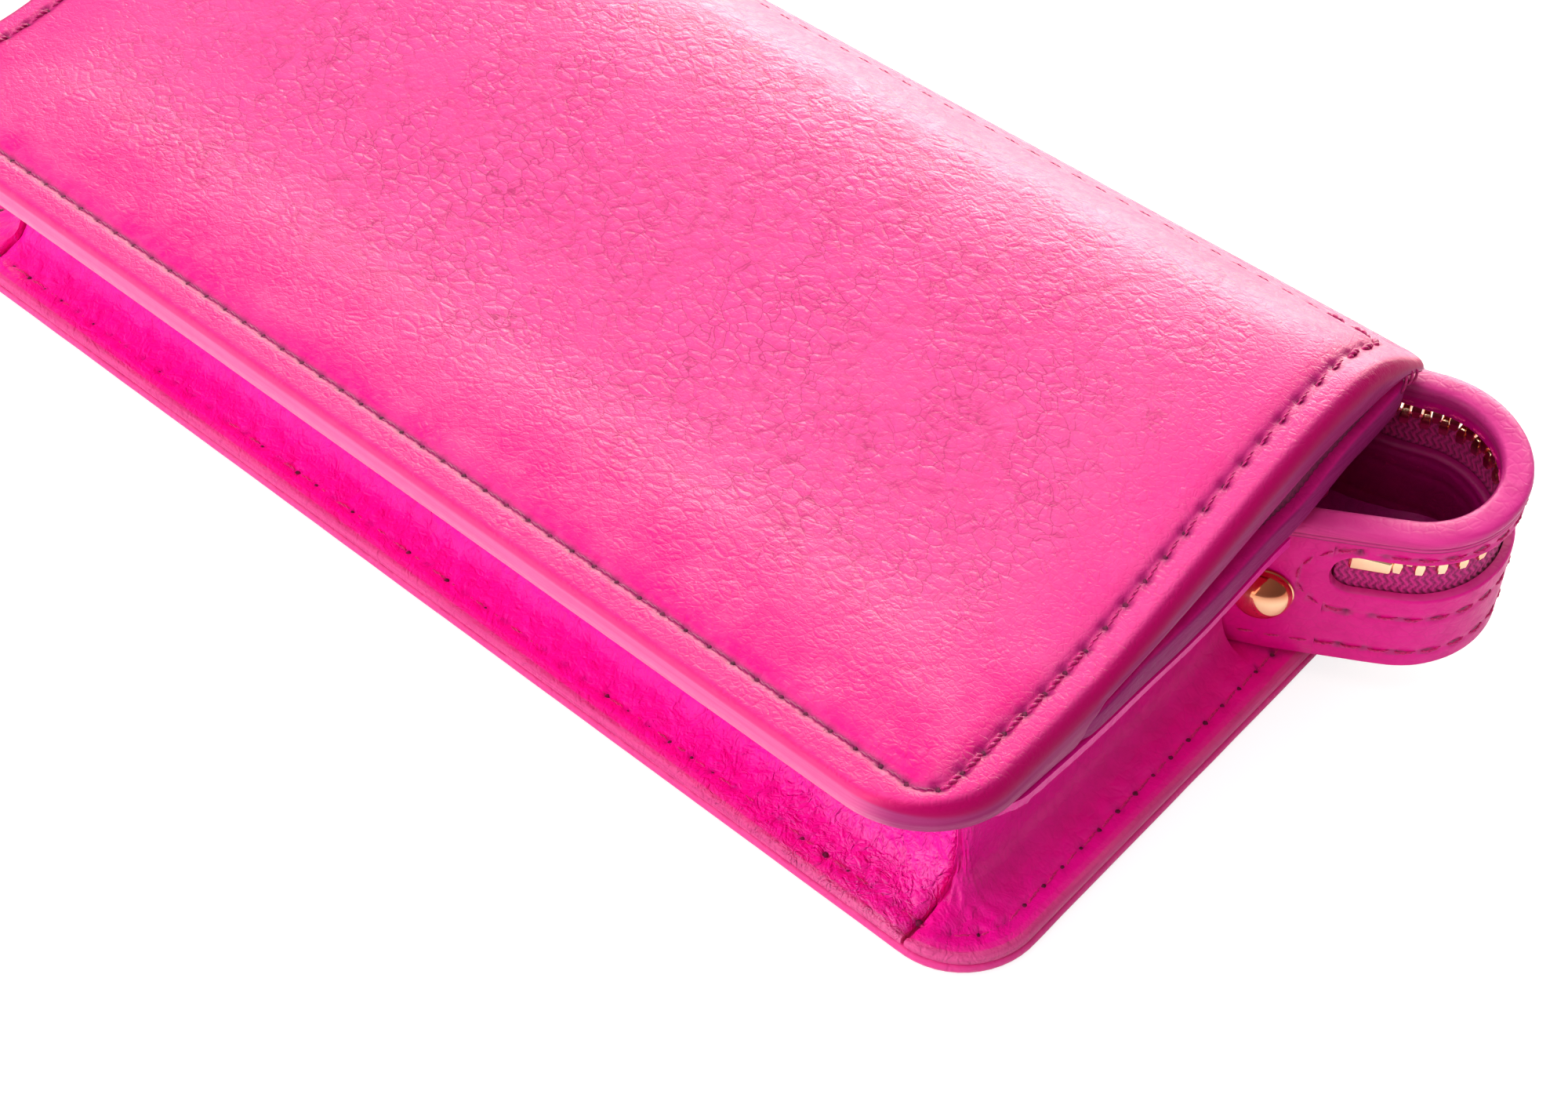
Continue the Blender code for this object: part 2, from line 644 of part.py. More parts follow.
# (x, z) from the pivot
LINK = [(-0.6, -2.7), (5.4, -2.7), (6.6, -3.4), (11.0, -3.4),
        (11.0, 3.4), (6.6, 3.4), (5.4, 2.7), (-0.6, 2.7)]
LINK_WINDOW = [(0.6, -1.6), (5.0, -1.6), (5.0, 1.6), (0.6, 1.6)]


def build_pull():
    """A flat metal eye whose end bar runs under the bail, and the leather tab beyond it."""
    link = y_prism("pull_link", GOLD, LINK, PIVOT, -0.55, 0.55)
    window = y_prism("pull_link_window", GOLD, LINK_WINDOW, PIVOT, -2.0, 2.0)
    cut(link, window)

    outline = [(11.4, -3.2)]
    for degrees in (0, 20, 45, 70, 90, 110, 135, 160, 180):
        a = math.radians(degrees)
        outline.append((PULL_END_X + PULL_END_R * math.sin(a), -PULL_END_R * math.cos(a)))
    outline.append((11.4, 3.2))
    leather = y_prism("pull_tab", PINK, outline, PIVOT, -0.9, 0.9)

    pieces = [link, window, leather]
    pivot = Vector(PIVOT) * MM
    turn = Matrix.Rotation(math.radians(PULL_TILT), 4, "Z")
    tilt = Matrix.Translation(pivot) @ turn @ Matrix.Translation(-pivot)
    for ob in pieces:
        ob.data.transform(tilt)
    return pieces


# ------------------------------------------------------------------ assembly
SIDES = (("right", 1), ("left", -1))

build_bottom_cover()
build_front_and_side_gussets()
build_back_gusset()
build_body_sheets()

cover_pieces = build_outer_panel() + build_inner_panel()
cover_pieces += [build_pocket_trim(f"pocket_trim_{word}", side) for word, side in SIDES]

lower_strips = [ribbon(*row) for row in LOWER_STRIPS]
cover_pieces += [ribbon(*row) for row in UPPER_STRIPS]
for word, side in SIDES:
    build_rivet(word, side, drilled=lower_strips[:2])

tab_block("zip_end_box", s=18.0, side=1, down=TEETH_DOWN, length=5.0, thick=2.9,
          heights=(2.9, 2.1), bevel=0.25)
build_top_stop("zip_top_stop_lower", TEETH_DOWN + 0.8)
cover_pieces.append(build_top_stop("zip_top_stop_upper", TEETH_DOWN - 0.8))

slider_pieces = build_slider()
pull_pieces = build_pull()

cover_hinge = add_empty("cover_hinge_axis", 0.0, HINGE_Y, HINGE_Z)
slide_axis = add_empty("zip_slide_axis", *SLIDER)
pull_axis = add_empty("pull_pivot_axis", *PIVOT)
carry(cover_hinge, cover_pieces)
carry(slide_axis, slider_pieces + [pull_axis])
carry(pull_axis, pull_pieces)
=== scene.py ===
"""A padded leather zip wallet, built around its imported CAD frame.

It lies flat on the floor: X runs along its length, -Y is the front, +Y the zipped back, +Z is up.
A body tray carries the zip band, whose ends loop out as riveted tabs; a padded cover lies on top.
Lengths are millimetres until mesh_object() writes metres. Plan shapes and heights follow the CAD.
"""

import json
import math

import bmesh
import bpy
import numpy as np
from mathutils import Matrix, Vector
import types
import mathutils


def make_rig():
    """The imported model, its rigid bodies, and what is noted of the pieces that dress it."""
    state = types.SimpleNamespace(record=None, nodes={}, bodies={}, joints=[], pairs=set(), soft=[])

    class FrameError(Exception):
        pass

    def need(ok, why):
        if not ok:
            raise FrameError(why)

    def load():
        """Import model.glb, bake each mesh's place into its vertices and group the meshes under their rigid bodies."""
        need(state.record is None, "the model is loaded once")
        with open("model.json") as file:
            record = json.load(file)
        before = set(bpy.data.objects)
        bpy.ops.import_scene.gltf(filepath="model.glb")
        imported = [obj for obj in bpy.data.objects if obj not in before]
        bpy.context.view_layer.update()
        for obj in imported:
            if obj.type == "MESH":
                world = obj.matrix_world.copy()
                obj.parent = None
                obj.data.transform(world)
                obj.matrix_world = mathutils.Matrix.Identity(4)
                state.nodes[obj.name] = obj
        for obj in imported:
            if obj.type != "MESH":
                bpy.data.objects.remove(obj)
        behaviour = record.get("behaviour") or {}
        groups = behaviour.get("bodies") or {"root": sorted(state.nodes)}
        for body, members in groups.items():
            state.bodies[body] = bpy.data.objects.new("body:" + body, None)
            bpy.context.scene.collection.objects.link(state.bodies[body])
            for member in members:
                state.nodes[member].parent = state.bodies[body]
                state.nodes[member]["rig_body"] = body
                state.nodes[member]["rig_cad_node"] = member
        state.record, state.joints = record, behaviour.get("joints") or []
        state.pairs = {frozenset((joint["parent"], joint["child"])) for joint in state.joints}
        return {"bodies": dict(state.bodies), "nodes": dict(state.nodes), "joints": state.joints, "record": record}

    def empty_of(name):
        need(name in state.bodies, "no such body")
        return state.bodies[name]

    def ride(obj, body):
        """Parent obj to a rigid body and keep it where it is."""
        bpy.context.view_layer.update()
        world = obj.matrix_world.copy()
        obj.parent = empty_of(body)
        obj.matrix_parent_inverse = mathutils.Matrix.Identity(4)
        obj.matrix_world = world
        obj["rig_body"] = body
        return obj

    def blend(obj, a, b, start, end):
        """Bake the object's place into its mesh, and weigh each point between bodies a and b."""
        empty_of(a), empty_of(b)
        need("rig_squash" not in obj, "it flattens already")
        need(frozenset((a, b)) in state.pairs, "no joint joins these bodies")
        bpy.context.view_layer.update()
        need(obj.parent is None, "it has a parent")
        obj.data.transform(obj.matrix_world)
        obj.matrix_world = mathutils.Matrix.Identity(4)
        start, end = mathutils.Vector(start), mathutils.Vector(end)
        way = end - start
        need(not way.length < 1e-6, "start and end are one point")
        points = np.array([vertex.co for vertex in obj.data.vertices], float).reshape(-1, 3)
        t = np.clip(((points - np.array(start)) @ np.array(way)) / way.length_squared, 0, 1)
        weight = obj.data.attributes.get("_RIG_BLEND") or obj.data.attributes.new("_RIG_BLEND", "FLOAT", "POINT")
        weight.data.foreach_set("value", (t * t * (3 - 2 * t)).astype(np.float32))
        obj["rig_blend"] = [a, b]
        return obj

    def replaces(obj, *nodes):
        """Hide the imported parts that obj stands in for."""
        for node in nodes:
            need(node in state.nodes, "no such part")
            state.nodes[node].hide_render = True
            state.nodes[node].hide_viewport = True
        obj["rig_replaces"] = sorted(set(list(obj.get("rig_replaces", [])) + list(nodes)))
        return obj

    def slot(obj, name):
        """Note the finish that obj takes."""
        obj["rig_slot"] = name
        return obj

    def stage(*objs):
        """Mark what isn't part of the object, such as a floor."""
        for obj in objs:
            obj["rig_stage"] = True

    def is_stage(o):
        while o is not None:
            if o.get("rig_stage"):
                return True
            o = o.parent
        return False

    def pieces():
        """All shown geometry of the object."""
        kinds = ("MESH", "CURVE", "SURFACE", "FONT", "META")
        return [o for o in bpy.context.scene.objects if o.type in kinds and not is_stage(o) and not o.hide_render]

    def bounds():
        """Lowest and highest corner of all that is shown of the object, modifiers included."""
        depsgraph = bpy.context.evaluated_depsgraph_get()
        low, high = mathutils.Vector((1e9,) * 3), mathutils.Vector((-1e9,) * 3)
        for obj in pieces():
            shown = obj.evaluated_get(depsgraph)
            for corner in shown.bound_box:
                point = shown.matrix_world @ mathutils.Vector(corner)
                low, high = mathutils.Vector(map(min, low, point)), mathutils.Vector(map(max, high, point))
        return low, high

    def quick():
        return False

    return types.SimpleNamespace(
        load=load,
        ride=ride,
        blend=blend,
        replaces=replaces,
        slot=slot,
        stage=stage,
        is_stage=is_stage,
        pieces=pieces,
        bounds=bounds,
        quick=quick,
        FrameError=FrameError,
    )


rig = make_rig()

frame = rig.load()
CAD_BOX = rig.bounds()
MM = 0.001
UP = np.array([0.0, 0.0, 1.0])
scene = bpy.context.scene
scene.view_settings.view_transform = "Standard"

# ---------------------------------------------------------------- the CAD's design rules
BODY_HALF_X, BODY_HALF_Y, BODY_R = 97.5, 47.5, 11.0
SEAM_X, SEAM_GAP = 86.3, 0.5
COVER_HALF_X, COVER_FRONT, COVER_BACK, COVER_R = 94.7, -52.3, 42.2, 13.0
TAB_X, TAB_Y, TAB_HEADING, TAB_LENGTH = 85.3, 14.25, 25.5, 22.0
LOOP_R, LOOP_TURN, CURVE_R = 10.8, 181.5, 25.0
BAND_HEIGHT, RIM_TAB_Z, RIM_BACK_Z = 23.5, 27.0, 33.4
SLOT_TOP, SLOT_BOTTOM, SLOT_START = 4.8, 11.0, 13.5
SLOT_MID, SLOT_HALF = (SLOT_TOP + SLOT_BOTTOM) / 2, (SLOT_BOTTOM - SLOT_TOP) / 2
CHAIN_DEPTH, CHAIN_INSET, PULL_DEPTH = 5.5, 0.30, 6.5
RIVET_ALONG, RIVET_DEPTH = 6.1, 12.6
SLIDER_X = -76.0
SIDE_INSET, BACK_INSET, SIDE_HEIGHT, BACK_HEIGHT = 15.5, 9.3, 19.0, 17.5

PITCH, BAND_PITCH = 3.6, 3.3  # stitch pitches of the panels and of the zip band
FLANGE_STITCH = 3.3  # inset of the stitch row on the body's flange


def ease(value):
    """Smoothstep from 0 to 1."""
    value = np.clip(value, 0.0, 1.0)
    return value * value * (3 - 2 * value)


def rise(value, zero_at, one_at):
    """Eases from 0 at zero_at to 1 at one_at, which may lie on either side."""
    return ease((np.asarray(value, float) - zero_at) / (one_at - zero_at))


def bell(value, width):
    return np.exp(-((value / width) ** 2))


def at_stitch(along, pitch):
    """1 at each needle hole, 0 halfway between."""
    return 0.5 + 0.5 * np.cos(math.tau * along / pitch)


def cover_top(y):
    y = np.asarray(y, float)
    return 33.6 + 10.9 * rise(y, -32, 24) - np.where(y > 24.0, 8.6 * ((y - 24.0) / 17.5) ** 2, 0.0)


def cover_under(y):
    y = np.asarray(y, float)
    thick = np.where(y < 25.0, 2.2 + 3.4 * rise(y, -42, 8), 1.9 + 3.7 * rise(y, 41, 25))
    return cover_top(y) - thick


# (y, z) along the underside of the cover's inner panel
INNER_LINE = [(-49, 29.1), (-20, 27.0), (-6, 26.5), (12, 28.3), (27, 31.4), (38, 33.0)]


def inner_bottom(y):
    y = np.asarray(y, float)
    out = np.full(y.shape, INNER_LINE[0][1])
    for (y_a, z_a), (y_b, z_b) in zip(INNER_LINE, INNER_LINE[1:]):
        out = np.where(y > y_a, z_a + (z_b - z_a) * rise(y, y_a, y_b), out)
    return out


def inner_top(y):
    """The two panels meet at the front and split along the sides, from about y = -26."""
    swell = inner_bottom(y) + 4.4 + 3.0 * rise(y, -26, -32)
    return np.minimum(swell, cover_under(y) - 0.35 * rise(y, -27, -23))


# ---------------------------------------------------------------- noise
def hash2(col, row, seed):
    key = col.astype(np.int64) * 374761393 + row.astype(np.int64) * 668265263
    key = (key + seed * 974634777) & 0xFFFFFFFF
    key = ((key ^ (key >> 13)) * 1274126177) & 0xFFFFFFFF
    key = key ^ (key >> 16)
    return (key & 0xFFFFFF) / float(0xFFFFFF)


def value_noise(x, y, seed):
    x, y = np.broadcast_arrays(np.asarray(x, float), np.asarray(y, float))
    col, row = np.floor(x), np.floor(y)
    across, up = ease(x - col), ease(y - row)
    low = hash2(col, row, seed) * (1 - across) + hash2(col + 1, row, seed) * across
    high = hash2(col, row + 1, seed) * (1 - across) + hash2(col + 1, row + 1, seed) * across
    return (low * (1 - up) + high * up) * 2 - 1


def fractal(x, y, seed, octaves=3):
    total, amp, norm = 0.0, 1.0, 0.0
    for k in range(octaves):
        layer_x = np.asarray(x) * 2**k + 17.3 * k
        total = total + amp * value_noise(layer_x, np.asarray(y) * 2**k - 9.1 * k, seed + k)
        norm += amp
        amp *= 0.5
    return total / norm


def cell_gap(x, y, seed, jitter=0.95):
    """Distance to the second nearest cell centre less that to the nearest: 0 on cell borders."""
    col, row = np.floor(x), np.floor(y)
    first = np.full(x.shape, 9.0)
    second = np.full(x.shape, 9.0)
    for i in (-1, 0, 1):
        for j in (-1, 0, 1):
            cell_x, cell_y = col + i, row + j
            centre_x = cell_x + 0.5 + jitter * (hash2(cell_x, cell_y, seed) - 0.5)
            centre_y = cell_y + 0.5 + jitter * (hash2(cell_x, cell_y, seed + 91) - 0.5)
            dist = np.hypot(centre_x - x, centre_y - y)
            second = np.where(dist < first, first, np.minimum(second, dist))
            first = np.minimum(first, dist)
    return second - first


# ---------------------------------------------------------------- polylines
def unit(vectors):
    return vectors / np.linalg.norm(vectors, axis=-1, keepdims=True)


def arc_lengths(points):
    return np.r_[0, np.cumsum(np.linalg.norm(np.diff(points, axis=0), axis=1))]


def interp_rows(at, lengths, rows):
    return np.stack([np.interp(at, lengths, column) for column in rows.T], -1)


def resample(points, count):
    """count points at even spacing along a polyline."""
    lengths = arc_lengths(points)
    return interp_rows(np.linspace(0, lengths[-1], count), lengths, points)


def even(points, step):
    points = np.asarray(points, float)
    return resample(points, max(2, int(round(arc_lengths(points)[-1] / step))) + 1)


def chaikin(points):
    """Two rounds of corner cutting."""
    points = np.asarray(points, float)
    for _ in range(2):
        cut = [points[0]]
        for a, b in zip(points, points[1:]):
            cut += [a * 0.75 + b * 0.25, a * 0.25 + b * 0.75]
        points = np.array(cut + [points[-1]])
    return points


def rounded_distance(x, y, half_x, front, back, front_r, back_r):
    """Signed distance to a rounded rectangle, negative inside."""
    mid, half_y = (front + back) / 2, (back - front) / 2
    r = np.where(np.asarray(y) < mid, front_r, back_r)
    over_x, over_y = np.abs(x) - (half_x - r), np.abs(y - mid) - (half_y - r)
    outside = np.hypot(np.maximum(over_x, 0), np.maximum(over_y, 0))
    return np.minimum(np.maximum(over_x, over_y), 0) + outside - r


def rounded_path(half_x, front, back, front_r, back_r, step):
    """A closed path round a rounded rectangle, anticlockwise from the front right corner."""
    corners = (
        (half_x - front_r, front + front_r, front_r, -90),
        (half_x - back_r, back - back_r, back_r, 0),
        (-(half_x - back_r), back - back_r, back_r, 90),
        (-(half_x - front_r), front + front_r, front_r, 180),
    )
    points = []
    for x, y, r, start in corners:
        for k in range(13):
            angle = math.radians(start + 90 * k / 12)
            points.append((x + r * math.cos(angle), y + r * math.sin(angle)))
    return even(points + points[:1], step)


def hole_places(path):
    """Needle holes one pitch apart round a closed path."""
    lengths = arc_lengths(path)
    count = int(round(lengths[-1] / PITCH))
    return interp_rows(np.arange(count) * lengths[-1] / count, lengths, path)


# ---------------------------------------------------------------- meshes
def attach(ob, part, *replaced, slot=None):
    """part: the part it rides, or the planes between which it blends from body to cover."""
    if isinstance(part, dict):
        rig.blend(ob, "body", "cover", **part)
    else:
        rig.ride(ob, part)
    if replaced:
        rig.replaces(ob, *replaced)
    if slot:
        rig.slot(ob, slot)


def mesh_object(name, verts, faces, mat, sharp=None, attrs=None):
    me = bpy.data.meshes.new(name)
    me.from_pydata((np.asarray(verts, float) * MM).tolist(), [], faces)
    me.validate()
    me.materials.append(mat)
    for key, values in (attrs or {}).items():
        layer = me.attributes.new(key, "FLOAT", "POINT")
        layer.data.foreach_set("value", np.asarray(values, np.float32).ravel())
    bm = bmesh.new()
    bm.from_mesh(me)
    bmesh.ops.recalc_face_normals(bm, faces=bm.faces)
    bm.to_mesh(me)
    bm.free()
    me.shade_smooth()
    if sharp is not None:
        me.set_sharp_from_angle(angle=math.radians(sharp))
    ob = bpy.data.objects.new(name, me)
    scene.collection.objects.link(ob)
    return ob


def merged(name, parts, mat, sharp=None):
    """One object from several (verts, faces) pairs."""
    faces, base = [], 0
    for part_verts, part_faces in parts:
        faces += [[i + base for i in face] for face in part_faces]
        base += len(part_verts)
    return mesh_object(name, np.concatenate([verts for verts, _ in parts]), faces, mat, sharp)


def loft_faces(rows, sides):
    """Quads between closed sections of equal size, with an n-gon cap at each end."""
    i, j = np.meshgrid(np.arange(rows - 1), np.arange(sides), indexing="ij")
    k = (j + 1) % sides
    here, there = i * sides, (i + 1) * sides
    quads = np.stack([here + j, here + k, there + k, there + j], -1).reshape(-1, 4).tolist()
    last = (rows - 1) * sides
    return quads + [list(range(sides))[::-1], list(range(last, last + sides))]


def loft(name, grid, mat, sharp, attrs):
    rows, sides = grid.shape[:2]
    attrs = {key: np.broadcast_to(values, (rows, sides)) for key, values in attrs.items()}
    return mesh_object(name, grid.reshape(-1, 3), loft_faces(rows, sides), mat, sharp, attrs)


def grid_normals(grid):
    """Unit normals of a grid of points whose second axis wraps round."""
    across = (np.roll(grid, -1, axis=1) - np.roll(grid, 1, axis=1)) / 2
    normals = np.cross(np.gradient(grid, axis=0), across)
    return normals / np.maximum(np.linalg.norm(normals, axis=-1, keepdims=True), 1e-9)


def round_part(centres, radii, first, second, sides):
    """Circles about the centres, in the plane of two unit vectors, joined into one part."""
    angle = np.arange(sides) * math.tau / sides
    circle = np.cos(angle)[:, None] * first[..., None, :]
    circle = circle + np.sin(angle)[:, None] * second[..., None, :]
    verts = centres[:, None, :] + radii[:, None, None] * circle
    return verts.reshape(-1, 3), loft_faces(len(centres), sides)


def block(sections, bevel, segments):
    """A bevelled solid through four-cornered sections."""
    bm = bmesh.new()
    loops = [[bm.verts.new(corner) for corner in section] for section in sections]
    for near, far in zip(loops, loops[1:]):
        for k in range(4):
            m = (k + 1) % 4
            bm.faces.new((near[k], near[m], far[m], far[k]))
    bm.faces.new(loops[0][::-1])
    bm.faces.new(loops[-1])
    bmesh.ops.recalc_face_normals(bm, faces=bm.faces)
    bmesh.ops.bevel(bm, geom=list(bm.edges), offset=bevel, segments=segments, affect="EDGES",
                    profile=0.5)
    bm.verts.index_update()
    verts = np.array([vert.co for vert in bm.verts])
    faces = [[vert.index for vert in face.verts] for face in bm.faces]
    bm.free()
    return verts, faces


# ---------------------------------------------------------------- rounded plan panels
def round_plan(x, y, half_x, front, back, front_r, back_r):
    """Bends a rectangular grid so that its border has rounded corners; also gives normals."""
    x, y = x.copy(), y.copy()
    normal_x, normal_y = np.zeros_like(x), np.zeros_like(y)
    for sign_y, r, centre in ((-1, front_r, front + front_r), (1, back_r, back - back_r)):
        for sign_x in (-1, 1):
            a = (sign_x * x - (half_x - r)) / r
            b = (sign_y * (y - centre)) / r
            corner = (a > 1e-9) & (b > 1e-9)
            far = np.maximum(a, b)
            safe = np.maximum(far, 1e-9)
            eighth = math.pi / 4
            angle = np.where(a >= b, eighth * (b / safe), math.pi / 2 - eighth * (a / safe))
            cos, sin = np.cos(angle), np.sin(angle)
            x = np.where(corner, sign_x * ((half_x - r) + r * far * cos), x)
            y = np.where(corner, centre + sign_y * r * far * sin, y)
            normal_x = np.where(corner, sign_x * cos, normal_x)
            normal_y = np.where(corner, sign_y * sin, normal_y)
    return x, y, normal_x, normal_y


def border(cols, rows):
    """Grid indices round the border, anticlockwise from the front left."""
    out = [(i, 0) for i in range(cols)]
    out += [(cols - 1, j) for j in range(1, rows)]
    out += [(i, rows - 1) for i in range(cols - 2, -1, -1)]
    out += [(0, j) for j in range(rows - 2, 0, -1)]
    return out


def join_strips(left, right, verts):
    """Faces between two rows of vertices that share the same run in y."""
    if len(left) == len(right):
        return [(left[k], left[k + 1], right[k + 1], right[k]) for k in range(len(left) - 1)]
    faces = []
    i = j = 0
    while i < len(left) - 1 or j < len(right) - 1:
        y_left = verts[left[i + 1], 1] if i < len(left) - 1 else 1e9
        y_right = verts[right[j + 1], 1] if j < len(right) - 1 else 1e9
        if y_left <= y_right:
            faces.append((left[i], left[i + 1], right[j]))
            i += 1
        else:
            faces.append((left[i], right[j + 1], right[j]))
            j += 1
    return faces


def panel(name, mat, plan, top, under, *, step, lip, drop, foot, wall_rows, wall=None,
          top_attrs=None):
    """A closed body: a top grid top(x, y), a rounded rim, a wall and an underside under(y).

    plan is (half x, front, back, front radius, back radius). lip and drop are the rim's width and
    height, or their values at the ends and at front and back. foot rounds the wall's lower edge;
    wall(share, x, y, z) moves the wall outwards, share running from 0 at its top to 1 at its foot.
    """
    half_x, front, back, front_r, back_r = plan
    lip_x, lip_y = np.broadcast_to(lip, 2)
    drop_x, drop_y = np.broadcast_to(drop, 2)
    cols = max(5, int(round(2 * half_x / step)) + 1)
    rows = max(5, int(round((back - front) / step)) + 1)
    grid_x, grid_y = np.meshgrid(
        np.linspace(-(half_x - lip_x), half_x - lip_x, cols),
        np.linspace(front + lip_y, back - lip_y, rows), indexing="ij")
    mean_lip = (lip_x + lip_y) / 2
    x, y, normal_x, normal_y = round_plan(
        grid_x, grid_y, half_x - lip_x, front + lip_y, back - lip_y,
        max(0.3, front_r - mean_lip), max(0.3, back_r - mean_lip))
    z = top(x, y)
    verts = [np.stack([x, y, z], -1).reshape(-1, 3)]
    i, j = np.meshgrid(np.arange(cols - 1), np.arange(rows - 1), indexing="ij")
    here, there = i * rows + j, (i + 1) * rows + j
    faces = np.stack([here, there, there + 1, here + 1], -1).reshape(-1, 4).tolist()

    ring = border(cols, rows)
    size = len(ring)
    ring_i, ring_j = np.array(ring).T
    out = np.stack([normal_x[ring_i, ring_j], normal_y[ring_i, ring_j]], -1)
    for k, (i, j) in enumerate(ring):
        if abs(out[k]).sum() < 1e-9:
            if j in (0, rows - 1):
                out[k] = (0, -1 if j == 0 else 1)
            else:
                out[k] = (1 if i == cols - 1 else -1, 0)
    toward_x, toward_y = out[:, 0] ** 2, out[:, 1] ** 2
    lip = lip_x * toward_x + lip_y * toward_y
    edge_xy = np.stack([x[ring_i, ring_j], y[ring_i, ring_j]], -1) + out * lip[:, None]
    z_top, z_low = z[ring_i, ring_j], under(edge_xy[:, 1])
    drop = np.minimum(drop_x * toward_x + drop_y * toward_y, 0.62 * (z_top - z_low))
    foot = np.minimum(foot(edge_xy[:, 1]) if callable(foot) else foot, 0.34 * (z_top - z_low))

    levels = []  # (inset, z, share of the wall, edge mark)
    for deg in (18, 36, 54, 72, 90):
        angle = math.radians(deg)
        levels.append((lip * (1 - math.sin(angle)), z_top - drop * (1 - math.cos(angle)), 0.0,
                       0.10 + 0.75 * (deg / 90) ** 1.3))
    wall_top, wall_low = z_top - drop, z_low + foot
    for k in range(1, wall_rows + 1):
        share = k / (wall_rows + 1)
        levels.append((0.0, wall_top + (wall_low - wall_top) * share, share, 1.0))
    for deg in (0, 30, 60, 90):
        angle = math.radians(deg)
        levels.append((foot * (1 - math.cos(angle)), z_low + foot * (1 - math.sin(angle)),
                       1.0, 1.0))

    count = cols * rows
    marks = [np.zeros(count)]
    last = ring_i * rows + ring_j
    for inset, level_z, share, mark in levels:
        place = edge_xy - out * np.reshape(inset, (-1, 1))
        if wall is not None:
            place = place + out * wall(share, place[:, 0], place[:, 1], level_z)[:, None]
        verts.append(np.column_stack([place, level_z]))
        now = np.arange(count, count + size)
        faces += np.stack([np.roll(last, -1), last, now, np.roll(now, -1)], -1).tolist()
        last = now
        count += size
        marks.append(np.full(size, mark))

    # underside: strips between the front and back borders, zipped to the rim at each end
    at = dict(zip(ring, last.tolist()))
    low = dict(zip(ring, verts[-1]))
    strips = [[at[0, j] for j in range(rows)]]
    for i in range(1, cols - 1):
        line = low[i, 0] + (low[i, rows - 1] - low[i, 0]) * (np.arange(1, 10)[:, None] / 10)
        line[:, 2] = under(line[:, 1])
        verts.append(line)
        marks.append(np.full(9, 0.6))
        strips.append([at[i, 0], *range(count, count + 9), at[i, rows - 1]])
        count += 9
    strips.append([at[cols - 1, j] for j in range(rows)])
    verts = np.concatenate(verts)
    for left, right in zip(strips, strips[1:]):
        faces += join_strips(left, right, verts)

    attrs = {"edge": np.concatenate(marks)}
    start = cols * rows
    for key, func in (top_attrs or {}).items():
        values = func(x, y)
        full = np.zeros(len(verts))
        full[:start] = values.ravel()
        # the rim carries its border value a little way down
        fade = 1 - np.arange(3)[:, None] / 3
        full[start:start + 3 * size] = (values[ring_i, ring_j] * fade).ravel()
        attrs[key] = full
    return mesh_object(name, verts, faces, mat, None, attrs)


# ---------------------------------------------------------------- thread and needle holes
def stitches(name, points, normals, mat, *, pitch, radius, height, sink, gap, skew, seed=5,
             strands=2, fatness=lambda share: 1.0):
    """Stitches along a 3-D polyline on a surface; two strands are twisted round each other."""
    lengths = arc_lengths(points)
    total = lengths[-1]
    count = max(1, int(round(total / pitch)))
    pitch = total / count
    random = np.random.RandomState(seed)
    share = np.linspace(0, 1, 9)
    arch = np.sin(math.pi * share)
    parts = []
    for k in range(count):
        start = k * pitch + gap + random.uniform(-0.06, 0.06)
        end = (k + 1) * pitch - gap + random.uniform(-0.06, 0.06)
        fat = fatness(k * pitch / total)
        at = np.clip(start + (end - start) * share, 0, total)
        centre = interp_rows(at, lengths, points)
        up = unit(interp_rows(at, lengths, normals))
        side = np.cross(up, unit(np.gradient(centre, axis=0)))
        lean = skew * random.uniform(0.6, 1.4)
        centre = centre + up * ((height * fat + sink) * arch**0.6 - sink)[:, None]
        centre = centre + side * (lean * (share - 0.5))[:, None]
        phase = random.uniform(0, math.tau)
        offset = 0.62 * radius * fat if strands > 1 else 0.0
        thick = radius * fat * (0.72 if strands > 1 else 1.0) * (0.55 + 0.45 * arch**0.5)
        for strand in range(strands):
            twist = phase + math.tau * (strand / strands + 1.6 * share)
            shift = up * (offset * np.sin(twist))[:, None]
            shift = shift + side * (offset * np.cos(twist))[:, None]
            parts.append(round_part(centre + shift, thick, side, up, 6))
    return merged(name, parts, mat)


def needle_holes(name, points, normals, depth, radius=0.36, stretch=1.25, sides=9):
    """Small dark dimples, one at each place the thread goes down."""
    angle = np.arange(sides) * math.tau / sides
    tangents = np.roll(points, -1, axis=0) - np.roll(points, 1, axis=0)
    random = np.random.RandomState(77)
    parts = []
    for point, normal, along in zip(points, unit(normals), tangents):
        along = along - normal * np.dot(along, normal)
        along = along / max(np.linalg.norm(along), 1e-9)
        side = np.cross(normal, along)
        scale = radius * random.uniform(0.8, 1.15)
        root = np.cos(angle)[:, None] * side + np.sin(angle)[:, None] * along
        rows = [point - normal * 0.25 + 0.2 * radius * root]
        for size, rise_share in ((1.0, 0.0), (0.82, 0.35), (0.45, 0.8), (0.12, 1.0)):
            wobble = 1 + 0.18 * np.cos(3 * angle + random.uniform(0, 6))
            ring = (np.cos(angle) * wobble)[:, None] * side * stretch
            ring = ring + (np.sin(angle) * wobble)[:, None] * along
            rows.append(point + normal * (depth * rise_share) + scale * size * ring)
        parts.append((np.concatenate(rows), loft_faces(5, sides)))
    return merged(name, parts, HOLE_SHADE)


